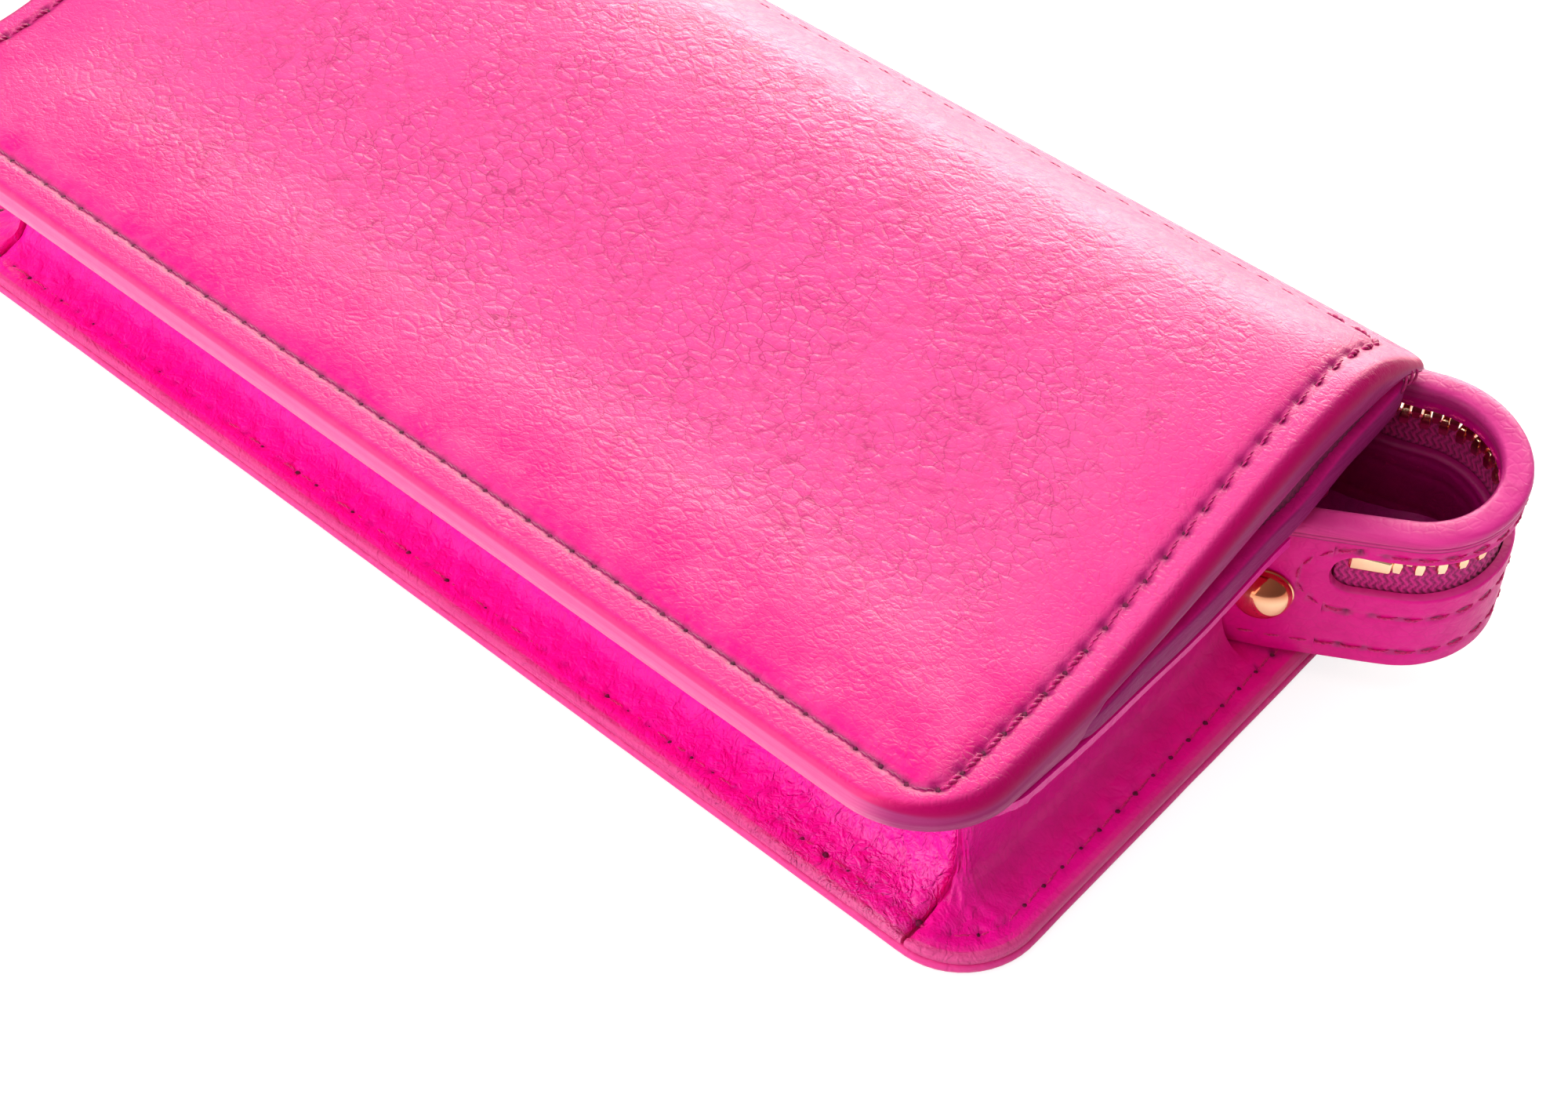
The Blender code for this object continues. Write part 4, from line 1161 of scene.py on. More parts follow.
def grain(x, y):
    """Pebbled grain: (height, crease 0..1); the crease value becomes painted shade in the creases and folds."""
    warp_x = 1.5 * fractal(x / 9, y / 9, 11) + 0.55 * fractal(x / 2.4, y / 2.4, 12)
    warp_y = 1.5 * fractal(x / 9, y / 9, 13) + 0.55 * fractal(x / 2.4, y / 2.4, 14)
    along, across = turned_plan(x + warp_x, y + warp_y, 0.5)
    big_gap = cell_gap(along / 3.5, across / 2.45, 21)
    small_gap = cell_gap(along / 1.7 + 7, across / 1.3 + 3, 22)
    core = rise(inside_stitches(x, y), 3, 18) * (0.35 + 0.65 * rise(np.abs(x), 86, 52))
    patch = 0.55 + 0.45 * fractal(x / 26, y / 26, 31)
    big = core * np.clip(patch + 0.25, 0.25, 1.1)
    small = (0.25 + 0.75 * core) * np.clip(0.9 - 0.5 * patch, 0.2, 1.0)
    height = 0.058 * big * (ease(big_gap / 0.75) - 0.5)
    height = height + 0.024 * small * (ease(small_gap / 0.55) - 0.5)
    height = height + 0.10 * core * fractal(x / 11, y / 7, 41)
    gate = ease((fractal(x / 7, y / 7, 51) + 0.35) / 0.6)
    crease = big * bell(big_gap, 0.10) * (0.4 + 0.6 * gate)
    crease = crease + 0.6 * small * bell(small_gap, 0.13) * gate
    fold = np.zeros_like(x)
    for k, (fold_x, fold_y, angle, half) in enumerate(FOLDS):
        along, across = turned_plan(x - fold_x, y - fold_y, angle)
        across = across + 1.3 * fractal(along / 7 + k, 3.1 * k, 61)
        across = across + 0.5 * fractal(along / 2.2 + k, 1.7 * k, 62)
        fold = np.maximum(fold, ease(1 - np.abs(along) / half) * bell(across, 0.38))
    return height - 0.055 * fold, np.clip(np.maximum(crease, 0.75 * fold), 0, 1)


def cover_smooth_z(x, y):
    inside = inside_stitches(x, y)
    z = cover_top(y) - 0.15 + 0.85 * SWELL(x, y) + 0.42 * ease(inside / 3.2)
    return z - 0.30 * bell(inside, 0.62)


def cover_z(x, y):
    z = cover_smooth_z(x, y) - 0.34 * bell(nearest_hole(x, y), 0.5) + grain(x, y)[0]
    return z + 0.03 * ease(-inside_stitches(x, y) / 1.5) * fractal(x / 1.6, y / 1.6, 71)


# needle holes and the stitch groove, darker toward the front: painted shade
def cover_hole_shade(x, y):
    front = rise(y, STITCH_FRONT + 2.0, STITCH_FRONT + 0.5)
    groove = (0.5 + 0.45 * front) * bell(inside_stitches(x, y), 0.32 + 0.10 * front)
    return np.clip(bell(nearest_hole(x, y), 0.48) + groove, 0, 1)


def cover_core(x, y):
    """Where the grain is open: the middle of the panel, fading towards its pressed edges."""
    core = rise(inside_stitches(x, y), 1, 13) * (0.45 + 0.55 * rise(np.abs(x), 92, 66))
    return core * np.clip(0.85 + 0.4 * fractal(x / 16, y / 16, 83), 0.2, 1.0)


def cover_rich(x, y):
    """More saturated, mottled leather just inside the stitches, strongest on the front side."""
    inside = inside_stitches(x, y)
    front = rise(y, -20, -34)
    band = ease(inside / 0.8) * (1 - ease((inside - 2.0 - 2.0 * front) / (12.0 + 5.0 * front)))
    band = band * (0.45 + 0.55 * front) * np.clip(0.85 + 0.5 * fractal(x / 5, y / 5, 81), 0.25, 1)
    return np.maximum(band, 0.70 * ease(-inside / 0.8) * (0.35 + 0.65 * front))


def outer_wall(share, x, y, z):
    """The painted wall stands slightly proud in its middle and carries faint layer lines."""
    ripple = 0.04 * value_noise(x / 6, y / 6, 5)
    if not 0 < share < 1:
        return 0.3 * ripple
    layers = 0.05 * np.sin(2.3 * z + 1.5 * fractal(x / 9, y / 9, 6)) * rise(y, -18, -28)
    return 0.12 * math.sin(math.pi * share) + layers + ripple


def outer_under(y):
    """At the front the edge is one thick painted wall; behind y = -26 the two panels part."""
    parted = rise(y, -29, -23)
    return (inner_bottom(y) - 0.06) * (1 - parted) + cover_under(y) * parted


def cover_outer():
    ob = panel("cover_outer_panel", COVER_LEATHER,
               (COVER_HALF_X, COVER_FRONT, COVER_BACK, COVER_R, 4.0), cover_z, outer_under,
               step=0.46, lip=(2.35, 1.05), drop=(2.5, 1.1), wall_rows=7, wall=outer_wall,
               foot=lambda y: 0.75 - 0.35 * bell(y + 25.0, 4.0),
               top_attrs={"crease": lambda x, y: grain(x, y)[1], "rich": cover_rich,
                          "hole": cover_hole_shade, "core": cover_core})
    attach(ob, "cover", "top_cover", "cover_board", "cover_facing", slot="top_leather")


def cover_normals(y):
    sample = np.linspace(-60, 60, 1201)
    slope = np.interp(y, sample, np.gradient(cover_top(sample), 0.1))
    return unit(np.column_stack([np.zeros(len(y)), -slope, np.ones(len(y))]))


def corner_fatness(share):
    """Thicker thread near the ends of the row's front and back sides."""
    lengths = arc_lengths(STITCH_LINE)
    place = interp_rows(share * lengths[-1], lengths, STITCH_LINE)
    for y, reach in ((STITCH_FRONT + 13, 13), (STITCH_BACK - 2, 7)):
        for x in (STITCH_HALF_X, -STITCH_HALF_X):
            if np.hypot(place[0] - x, place[1] - y) < reach:
                return 2.1
    return 1.0


def cover_stitching():
    x, y = STITCH_LINE.T
    row = stitches("cover_stitches", np.column_stack([x, y, cover_smooth_z(x, y)]),
                   cover_normals(y), COVER_THREAD, pitch=PITCH, radius=0.17, height=0.05,
                   sink=0.26, gap=0.26, skew=0.25, fatness=corner_fatness)
    attach(row, "cover")
    x, y = HOLES.T
    holes = needle_holes("cover_needle_holes",
                         np.column_stack([x, y, cover_smooth_z(x, y) - 0.20]),
                         cover_normals(y), depth=0.16)
    attach(holes, "cover")


cover_outer()
cover_stitching()


# ---------------------------------------------------------------- the cover's inner panel
def inner_wall(share, x, y, z):
    """The inner panel's edge comes out flush where the two panels part."""
    proud = (0.55 + 0.12 * math.sin(math.pi * share)) * rise(y, -28.5, -25)
    return proud + 0.05 * value_noise(x / 5, y / 5, 8)


def cover_inner():
    ob = panel("cover_inner_panel", PANEL_LEATHER,
               (COVER_HALF_X - 0.35, COVER_FRONT + 0.8, 37.6, COVER_R - 0.5, 4.0),
               lambda x, y: inner_top(y), inner_bottom, step=1.6, lip=0.7, drop=0.5, foot=0.75,
               wall_rows=5, wall=inner_wall)
    attach(ob, "cover", "inner_panel", slot="panel_edge")


def rib_height(along, across):
    """Herringbone ribs: slanted one way in one column and the other way in the next."""
    width, spacing = 0.95, 0.92
    col = np.floor(across / width)
    lean = np.where(col % 2 == 0, 1.0, -1.0)
    return 0.5 + 0.5 * np.cos(math.tau * (along + lean * (across - col * width) * 0.75) / spacing)


def pocket_trim(sign, word):
    """A woven strip in the gap between the cover's panels, at one end."""
    ribbed = 13
    y = np.arange(-25.0, 32.0, 0.26)[:, None]
    low = inner_top(y) + 0.05
    high = np.maximum(cover_under(y) - 0.05, low + 0.12)
    share = np.r_[np.arange(ribbed) / (ribbed - 1), 1.0, 0.0]
    outer = np.arange(ribbed + 2) < ribbed
    rib = np.where(outer, rib_height(y, share * 3.8), 0.0)
    x = 92.0 + 1.2 * rise(y, -6, 16) + 0.2 * rib - 0.3 * share
    x = sign * np.where(outer, x + 0.25 * fractal(y / 6, share, 95), 88.0)
    grid = np.stack(np.broadcast_arrays(x, y, low + (high - low) * share), -1)
    ob = loft(f"pocket_trim_woven_{word}", grid, TRIM, 60, {"rib": rib})
    attach(ob, "cover", f"pocket_trim_{word}", slot="tape")


def tack_stitches():
    """Four short bars across the gap at the back of each end."""
    parts = []
    for sign in (1, -1):
        for k, y in enumerate((34.4, 35.3, 36.1, 36.9)):
            low, high = float(inner_top(y)) - 0.9, float(cover_under(y)) + 0.9
            lean = 0.5 * math.sin(k * 2.1)
            points = even([(sign * (COVER_HALF_X + out), y + shift, z) for out, shift, z in (
                (-0.9, 0, low), (0.12, 0.1, low + 0.3), (0.3, 0.3 + lean, (low + high) / 2),
                (0.1, 0.6 + lean, high - 0.3), (-0.9, 0.6 + lean, high))], 0.35)
            along = unit(np.gradient(points, axis=0))
            first = unit(np.cross(along, [0.31, 0.52, 0.79]))
            radii = np.full(len(points), 0.17)
            parts.append(round_part(points, radii, first, np.cross(along, first), 8))
    attach(merged("cover_tack_stitches", parts, SHADED_THREAD), "cover")


cover_inner()
pocket_trim(1, "right")
pocket_trim(-1, "left")
tack_stitches()


# ---------------------------------------------------------------- gussets
def outline_at(kind, inset):
    """Plan place at some insets from the body's outline.

    kind: ("front", x) | ("corner", index, degrees) | ("side", sign, y) | ("back", x)
    """
    inset = np.asarray(inset, float)
    if kind[0] == "front":
        return np.full_like(inset, kind[1]), -(BODY_HALF_Y - inset)
    if kind[0] == "back":
        return np.full_like(inset, kind[1]), BODY_HALF_Y - inset
    if kind[0] == "side":
        return kind[1] * (BODY_HALF_X - inset), np.full_like(inset, kind[2])
    r = np.maximum(BODY_R - inset, np.where(inset < 10.8, 1.3, 0.8))
    sign_x, sign_y = ((1, -1), (1, 1), (-1, 1), (-1, -1))[kind[1]]
    angle = math.radians(kind[2])
    return (sign_x * (BODY_HALF_X - inset - r) + r * math.cos(angle),
            sign_y * (BODY_HALF_Y - inset - r) + r * math.sin(angle))


def station_arcs(kinds):
    """Distance of each station along the flange's stitch row."""
    return arc_lengths(np.array([outline_at(kind, FLANGE_STITCH) for kind in kinds], float))


# the C-shaped section of the front and side gussets: (inset from the outline, z)
C_OUTER = [(0.30, 1.62), (0.22, 2.0), (0.22, 2.6), (0.40, 3.0), (1.0, 3.12), (3.0, 3.08),
           (5.0, 3.18), (7.6, 3.9), (9.3, 6.2), (10.0, 10.0), (10.0, 18.0), (9.4, 21.6),
           (7.4, 23.7), (4.6, 24.6), (2.6, 24.9)]
C_INNER = [(2.6, 26.0), (5.3, 26.0), (8.7, 24.9), (10.8, 22.1), (11.3, 18.2), (11.3, 9.8),
           (10.6, 5.6), (8.4, 2.85), (5.4, 1.62)]
GUSSET_BLEND = dict(start=(0, 0, 0.013), end=(0, 0, 0.0262))


def gusset(name, mat, kinds, arcs, node, *, turned_ends, crinkle, seed, soft_amp):
    """A C-section strip; its outer side carries crinkles and stitch puckers.

    turned_ends: how far the leather curls in at the first and last station.
    """
    outer = even(chaikin(C_OUTER), 0.55)
    section = np.concatenate([outer, C_INNER])
    grid = np.zeros((len(kinds), len(section), 3))
    for k, kind in enumerate(kinds):
        x, y = outline_at(kind, section[:, 0])
        z = section[:, 1]
        # the upper part reaches up to the cover
        lift = (inner_bottom(y) - 0.12 - 18.0) / (26.0 - 18.0)
        grid[k] = np.stack([x, y, np.where(z > 18.0, 18.0 + (z - 18.0) * lift, z)], -1)
    normals = grid_normals(grid)
    middle = (len(kinds) // 2, len(outer) // 2)
    if np.dot(normals[middle][:2], grid[middle][:2]) < 0:
        normals = -normals
    along, up = np.asarray(arcs)[:, None], arc_lengths(section)
    inset = section[:, 0]
    is_outer = np.arange(len(section)) < len(outer)

    warp_x = along + 1.2 * fractal(along / 6, up / 6, seed) + 0.35 * up
    warp_y = up + 1.2 * fractal(along / 6, up / 6, seed + 1)
    ridges = 1 - np.abs(fractal(warp_x / 1.5, warp_y / 4.6, seed + 2)) * 2.2
    fine_ridges = 1 - np.abs(fractal(warp_x / 0.95 + 4, warp_y / 2.2, seed + 3, 2)) * 2.0
    rough = fractal(warp_x / 0.55, warp_y / 1.2, seed + 6, 2)
    cove = rise(up, 2, 4.5)
    push = crinkle * cove * (0.24 * ridges + 0.15 * fine_ridges + 0.06 * rough)
    push = push + cove * (0.25 * crinkle + soft_amp) * fractal(along / 7, up / 9, seed + 4)
    # crease darkens the valleys between the crinkles: painted shade
    crease = np.clip(crinkle * cove * ease((0.1 - ridges) / 0.5), 0, 1)

    # stitch row: a shallow groove with a dip at each hole and puckers across it
    flange = up < 9.0
    holes = at_stitch(along, PITCH)
    push = push - np.where(flange, bell(inset - FLANGE_STITCH, 0.55), 0) * (0.12 + 0.28 * holes**2)
    pucker = np.where(flange, bell(inset - FLANGE_STITCH - 1.5, 0.9), 0)
    push = push + pucker * 0.10 * np.cos(math.tau * along / PITCH + 0.8)
    # hole darkens the needle holes: painted shade
    hole = np.where(flange, bell(inset - FLANGE_STITCH, 0.5), 0) * holes**6

    # turned ends: the leather curls in at each seam
    for end, amount in zip((along - along[0], along[-1] - along), turned_ends):
        if amount:
            near = np.clip(end / 1.3, 0, 1)
            roll = amount * (1 - np.sqrt(np.clip(1 - (1 - near) ** 2, 0, 1)))
            push = push - roll * rise(up, 1, 2.5)
            push = push + 0.20 * amount * bell(end - 2.0, 1.2) * rise(up, 1, 3)
    grid = grid + normals * (push * (is_outer & (up > 1.6)))[:, :, None]
    edge = np.where(up < 2.1, 1.0, np.where(up < 2.9, 0.4, 0.0))
    ob = loft(name, grid, mat, 55, {"edge": edge, "crease": crease, "hole": 0.45 * hole,
                                    "inside": ~is_outer})
    attach(ob, GUSSET_BLEND, node, slot="gusset_leather")


def side_gusset(sign, word, seed):
    """From the front seam round the front corner and back along one end."""
    kinds = [("front", sign * (SEAM_X + SEAM_GAP))]
    for deg in np.arange(4.0, 90.1, 4.3):
        kinds.append(("corner", 0, -90 + deg) if sign > 0 else ("corner", 3, 270 - deg))
    kinds += [("side", sign, float(y)) for y in np.linspace(-35.8, 13.1, 62)]
    arcs = station_arcs(kinds)
    crinkle = 0.12 + 0.80 * rise(arcs, 17, 4)[:, None]
    gusset(f"side_gusset_{word}_piece", SIDE_LEATHER, kinds, arcs, f"side_gusset_{word}",
           turned_ends=(0.9, 0.0), crinkle=crinkle, seed=seed, soft_amp=0.10)


def back_section(share):
    """Outer and inner (inset, z) points; share runs from 0 at the ends to 1 at the back."""
    inset = SIDE_INSET + (BACK_INSET - SIDE_INSET) * share
    height = SIDE_HEIGHT + (BACK_HEIGHT - SIDE_HEIGHT) * share
    outer = C_OUTER[:7] + [(inset - 2.2, 3.5), (inset - 0.6, 5.4), (inset, 8.5),
                           (inset, height - 1.0), (inset + 0.25, height)]
    inner = [(inset + 1.0, height), (inset + 1.25, height - 1.0), (inset + 1.25, 8.2),
             (inset + 0.7, 4.6), (inset - 1.4, 2.3), (5.4, 1.62)]
    return even(chaikin(outer), 0.9), np.array(inner)


def back_gusset():
    """An L-section strip from one end round the back to the other."""
    stations = [(("side", 1, float(y)), 0.0) for y in np.arange(12.9, 36.0, 0.9)]
    degrees = np.arange(0, 90.1, 4.5)
    stations += [(("corner", 1, deg), ease(deg / 90)) for deg in degrees]
    stations += [(("back", float(x)), 1.0) for x in np.arange(85.6, -85.7, -0.9)]
    stations += [(("corner", 2, 90 + deg), 1 - ease(deg / 90)) for deg in degrees]
    stations += [(("side", -1, float(y)), 0.0) for y in np.arange(36.0, 12.85, -0.9)]

    first_outer, first_inner = back_section(0.0)
    count = len(first_outer)
    grid = []
    for kind, share in stations:
        outer, inner = back_section(share)
        if len(outer) != count:
            outer = resample(outer, count)
        section = np.concatenate([outer, inner])
        grid.append(np.stack([*outline_at(kind, section[:, 0]), section[:, 1]], -1))
    grid = np.array(grid)
    normals = grid_normals(grid)
    if normals[5, 12, 2] < 0 or normals[5, count // 2 + 4, 0] < 0:
        normals = -normals
    section = np.concatenate([first_outer, first_inner])
    along, up = station_arcs([kind for kind, _ in stations])[:, None], arc_lengths(section)
    holes = at_stitch(along, PITCH)
    row = np.where(up < 7.0, bell(section[:, 0] - FLANGE_STITCH, 0.6), 0)
    push = 0.10 * rise(up, 4, 7) * fractal(along / 5, up / 5, 501)
    push = push - row * (0.12 + 0.25 * holes**2)
    outside = (np.arange(len(section)) < count) & (up > 1.6)
    grid = grid + normals * (push * outside)[:, :, None]
    # the hole attribute darkens the needle holes: painted shade
    ob = loft("back_gusset_piece", grid, SIDE_LEATHER, 55,
              {"edge": np.where(up < 2.1, 1.0, 0.0), "crease": 0.0, "hole": row * holes**6})
    attach(ob, "body", "back_gusset", slot="gusset_leather")


def flange_stitching():
    """The stitch row round the body's flange."""
    half_x, half_y = BODY_HALF_X - FLANGE_STITCH, BODY_HALF_Y - FLANGE_STITCH
    r = BODY_R - FLANGE_STITCH
    path = rounded_path(half_x, -half_y, half_y, r, r, 0.4)
    row = stitches("flange_stitches", np.column_stack([path, np.full(len(path), 2.98)]),
                   np.tile(UP, (len(path), 1)), THREAD, pitch=PITCH, radius=0.15, height=0.08,
                   sink=0.25, gap=0.40, skew=0.3, seed=9)
    attach(row, "body")
    places = hole_places(path)
    holes = needle_holes("flange_needle_holes",
                         np.column_stack([places, np.full(len(places), 2.84)]),
                         np.tile(UP, (len(places), 1)), depth=0.14)
    attach(holes, "body")


def bottom_cover():
    def wall(share, x, y, z):
        return 0.03 * value_noise(x / 5, y / 5, 15) + (0.05 if 0 < share < 1 else 0.0)

    ob = panel("bottom_cover_panel", BOTTOM_LEATHER,
               (BODY_HALF_X, -BODY_HALF_Y, BODY_HALF_Y, BODY_R, BODY_R),
               lambda x, y: np.full_like(x, 1.52), np.zeros_like, step=1.6, lip=0.7, drop=0.5,
               foot=0.55, wall_rows=2, wall=wall)
    attach(ob, "body", "bottom_cover", slot="top_leather")


front_x = np.linspace(-SEAM_X, SEAM_X, 240).tolist()
gusset("front_gusset_strip", FRONT_LEATHER, [("front", x) for x in front_x], front_x,
       "front_gusset", turned_ends=(0.6, 0.6), crinkle=1.0, seed=300, soft_amp=0.03)
side_gusset(1, "right", 401)
side_gusset(-1, "left", 399)
back_gusset()
flange_stitching()
bottom_cover()

# ---------------------------------------------------------------- the zip band's path
# Half of it in plan: a straight tab, a loop, a curve the other way and a straight back.
TAB_ANGLE = math.radians(TAB_HEADING)
LOOP_ANGLE = math.radians(LOOP_TURN)
CURVE_ANGLE = TAB_ANGLE + LOOP_ANGLE
LOOP_X = TAB_X + TAB_LENGTH * math.cos(TAB_ANGLE) - LOOP_R * math.sin(TAB_ANGLE)
LOOP_Y = TAB_Y + TAB_LENGTH * math.sin(TAB_ANGLE) + LOOP_R * math.cos(TAB_ANGLE)
LOOP_END = TAB_LENGTH + LOOP_R * LOOP_ANGLE
CURVE_X = LOOP_X + LOOP_R * math.sin(CURVE_ANGLE) + CURVE_R * math.sin(CURVE_ANGLE)
CURVE_Y = LOOP_Y - LOOP_R * math.cos(CURVE_ANGLE) - CURVE_R * math.cos(CURVE_ANGLE)
CURVE_END = LOOP_END + CURVE_R * (CURVE_ANGLE - math.pi)
BACK_Y = CURVE_Y - CURVE_R
HALF_LENGTH = CURVE_END + CURVE_X
LENGTH = 2 * HALF_LENGTH
BAND_BLEND = dict(start=(0, 0.0212, 0), end=(0, 0.0398, 0))


def from_end(along):
    """Distance from the nearest tab's end."""
    return np.minimum(along, LENGTH - along)


def band_frame(along):
    """(place on the rim, outward normal, tangent) at a distance from the right tab's end."""
    along = np.asarray(along, float)
    dist = from_end(along)
    parts = [dist <= TAB_LENGTH, dist <= LOOP_END, dist <= CURVE_END]
    heading = np.select(parts, [
        np.full(dist.shape, TAB_ANGLE),
        TAB_ANGLE + (dist - TAB_LENGTH) / LOOP_R,
        CURVE_ANGLE - (dist - LOOP_END) / CURVE_R], math.pi)
    sin, cos = np.sin(heading), np.cos(heading)
    x = np.select(parts, [TAB_X + dist * cos, LOOP_X + LOOP_R * sin, CURVE_X - CURVE_R * sin],
                  CURVE_X - (dist - CURVE_END))
    y = np.select(parts, [TAB_Y + dist * sin, LOOP_Y - LOOP_R * cos, CURVE_Y + CURVE_R * cos],
                  BACK_Y)
    climb = np.clip((dist - 4.0) / (CURVE_END - 4.0), 0, 1)
    rim_z = RIM_TAB_Z + (RIM_BACK_Z - RIM_TAB_Z) * 0.5 * (climb + ease(climb))
    sign = np.where(along > HALF_LENGTH, -1.0, 1.0)
    return (np.stack([sign * x, y, rim_z], -1), np.stack([sign * sin, -cos, 0 * sin], -1),
            np.stack([cos, sign * sin, 0 * sin], -1))


def band_point(along, out, depth):
    """A place out from the band's middle and depth below its rim."""
    place, normal, _ = band_frame(along)
    return place + normal * np.asarray(out)[..., None] - UP * np.asarray(depth)[..., None]


def on_band(along, out, depth, verts):
    """Moves verts from local axes (along, outward, up) to a place on the band."""
    _, normal, tangent = band_frame(along)
    verts = verts[:, :1] * tangent + verts[:, 1:2] * normal + verts[:, 2:3] * UP
    return band_point(along, out, depth) + verts


def slot_edges(dist):
    """Depths of the zip slot's upper and lower edges, with a rounded end on the tab."""
    share = np.clip((dist - SLOT_START) / SLOT_HALF, 0, 1)
    half = SLOT_HALF * np.sqrt(np.clip(1 - (1 - share) ** 2, 0, 1))
    return SLOT_MID - half, SLOT_MID + half


def slot_stations():
    """Distances along the slotted part, closer together at the slot's ends."""
    end, step = LENGTH - SLOT_START, 0.8
    out = [SLOT_START]
    while out[-1] < end - 1e-6:
        near_end = from_end(out[-1]) < SLOT_START + SLOT_HALF + 0.4
        out.append(min(end, out[-1] + (0.3 if near_end else step)))
    if out[-1] - out[-2] < 0.25 * step:
        out.pop(-2)
    return np.array(out)


# ---------------------------------------------------------------- the band's leather strips
# the broad painted rim: (out from the band's middle, depth)
RIM = [(1.76, 2.55), (1.80, 2.35), (1.70, 2.22), (1.70, 2.12), (1.84, 1.98), (1.86, 1.72),
       (1.74, 1.60), (1.74, 1.52), (1.90, 1.38), (1.93, 1.0), (1.86, 0.62), (1.66, 0.32),
       (1.34, 0.13), (0.9, 0.04), (0.45, 0.0), (0.0, 0.0), (-0.45, 0.0), (-0.9, 0.04),
       (-1.34, 0.13), (-1.66, 0.32), (-1.86, 0.62), (-1.93, 1.0), (-1.88, 1.4), (-1.78, 1.8),
       (-1.76, 2.55)]
FACE = 1.75  # half thickness of the band
UNDER_SLOT_ROW, BOTTOM_ROW, OVER_SLOT_ROW = 14.6, 20.8, 3.7  # depths of the stitch rows
# centre and radii of the stitched ellipse round the slot's end: (along, depth)
END_ALONG, END_DEPTH, END_R_ALONG, END_R_DEPTH = 17.0, 9.0, 7.2, 5.6


def rim_section(bottom, solid):
    """(outs, depths) of a strip that carries the rim; bottom is its lower edge at each station."""
    rows, rim_low, turn = 12, RIM[0][1], 0.28
    outs = [0.5, 1.45] + [FACE] * rows + [out for out, _ in RIM] + [-FACE] * rows
    outs += [-1.45, -0.5, -0.42, 0.42]
    inner_low = bottom if solid else np.minimum(bottom, 3.95)
    core = bottom - (0.02 if solid else 1.0) * np.minimum(3.4, bottom - 1.4)
    depths = [bottom, bottom]
    depths += [bottom - turn + (rim_low - bottom + turn) * k / rows for k in range(rows)]
    depths += [np.full_like(bottom, depth) for _, depth in RIM]
    depths += [rim_low + (inner_low - turn - rim_low) * (k + 1) / rows for k in range(rows)]
    depths += [inner_low, inner_low, core, core]
    return np.array(outs), np.stack(depths, 1)


def lower_section(top, bottom):
    """(outs, depths) of the strip under the slot, hollow to hold the tape."""
    rows, turn = 44, 0.3
    outs = [1.45] + [FACE] * rows + [1.45, 0.5, 0.42, -0.42, -0.5, -1.45] + [-FACE] * rows
    outs += [-1.45, -0.6, 0.6]
    high, low = top + turn, bottom - turn
    depths = [bottom] + [low + (high - low) * k / (rows - 1) for k in range(rows)]
    depths += [top, top, top + 5.4, top + 5.4, top, top]
    depths += [high + (low - high) * k / (rows - 1) for k in range(rows)]
    depths += [bottom] * 3
    return np.array(outs), np.stack(depths, 1)


def stitch_dip(along, depth, rows):
    return -sum(bell(depth - row, 0.55) * (0.12 + 0.26 * at_stitch(along, BAND_PITCH) ** 2)
                for row in rows)


def outer_relief(along, depth, rows, wave, seed):
    """Waves, small pleats under the rim, stitch dips and the groove round the slot's end."""
    waves = fractal(along / 4.0, depth / 2.6, seed) * wave
    phase = math.tau * along / 1.15 + 2.0 * value_noise(along / 3, 0, seed + 3)
    pleats = 0.06 * np.cos(phase) * bell(depth - 3.1, 0.9)
    dist = from_end(along)
    ellipse = np.hypot((dist - END_ALONG) / END_R_ALONG, (depth - END_DEPTH) / END_R_DEPTH)
    groove = np.where(dist < END_ALONG, -0.22 * bell((ellipse - 1) * 6.0, 0.5), 0.0)
    return waves + pleats + stitch_dip(along, depth, rows) + groove


def strip(name, along, section, seed, rows, *, rim, wave=0.06):
    outs, depth = section
    along = along[:, None]
    outer, inner = outs > 1.6, outs < -1.6
    body = (depth > 2.6) | (not rim)
    out = outs + np.where(outer & body, outer_relief(along, depth, rows, wave, seed), 0.0)
    slack = 0.08 * fractal(along / 3, depth / 3, seed + 7)
    slack = slack + 0.6 * stitch_dip(along + 1.1, depth, rows)
    lining_edge = 12.2 + 0.3 * fractal(along / 3, 0, seed + 10)
    slack = slack + 0.22 * ease((depth - lining_edge) / 0.3)
    out = out - np.where(inner & body, slack, 0.0)

    edge = np.where((np.abs(out) < 1.6) & (out > 0.45), 0.8, 0.0)
    edge = np.where(rim & (depth < 2.3), 1.0, edge)
    inside = np.where(out < -1.6, 0.45, 0.0) if rim else np.where(out < -0.45, 1.0, 0.0)
    # hole darkens the needle holes as painted shade, and marks two dark layer lines under the rim
    holes = sum(bell(depth - row, 0.45) * at_stitch(along, BAND_PITCH) ** 6 for row in rows)
    hole = np.where(outer, np.clip(holes, 0, 1), 0.0)
    if rim:
        grooves = (np.abs(depth - 2.17) < 0.07) | (np.abs(depth - 1.56) < 0.06)
        hole = np.where(grooves & outer, 0.45, hole)
    # crease darkens the band just under the rim's lower edge: painted shade
    crease = np.where(outer & (depth > 2.4) & (depth < 3.0) & rim, 0.5, 0.0)
    return loft(name, band_point(along, out, depth), BAND_LEATHER, 62,
                {"edge": edge, "inside": inside, "hole": hole, "crease": crease})


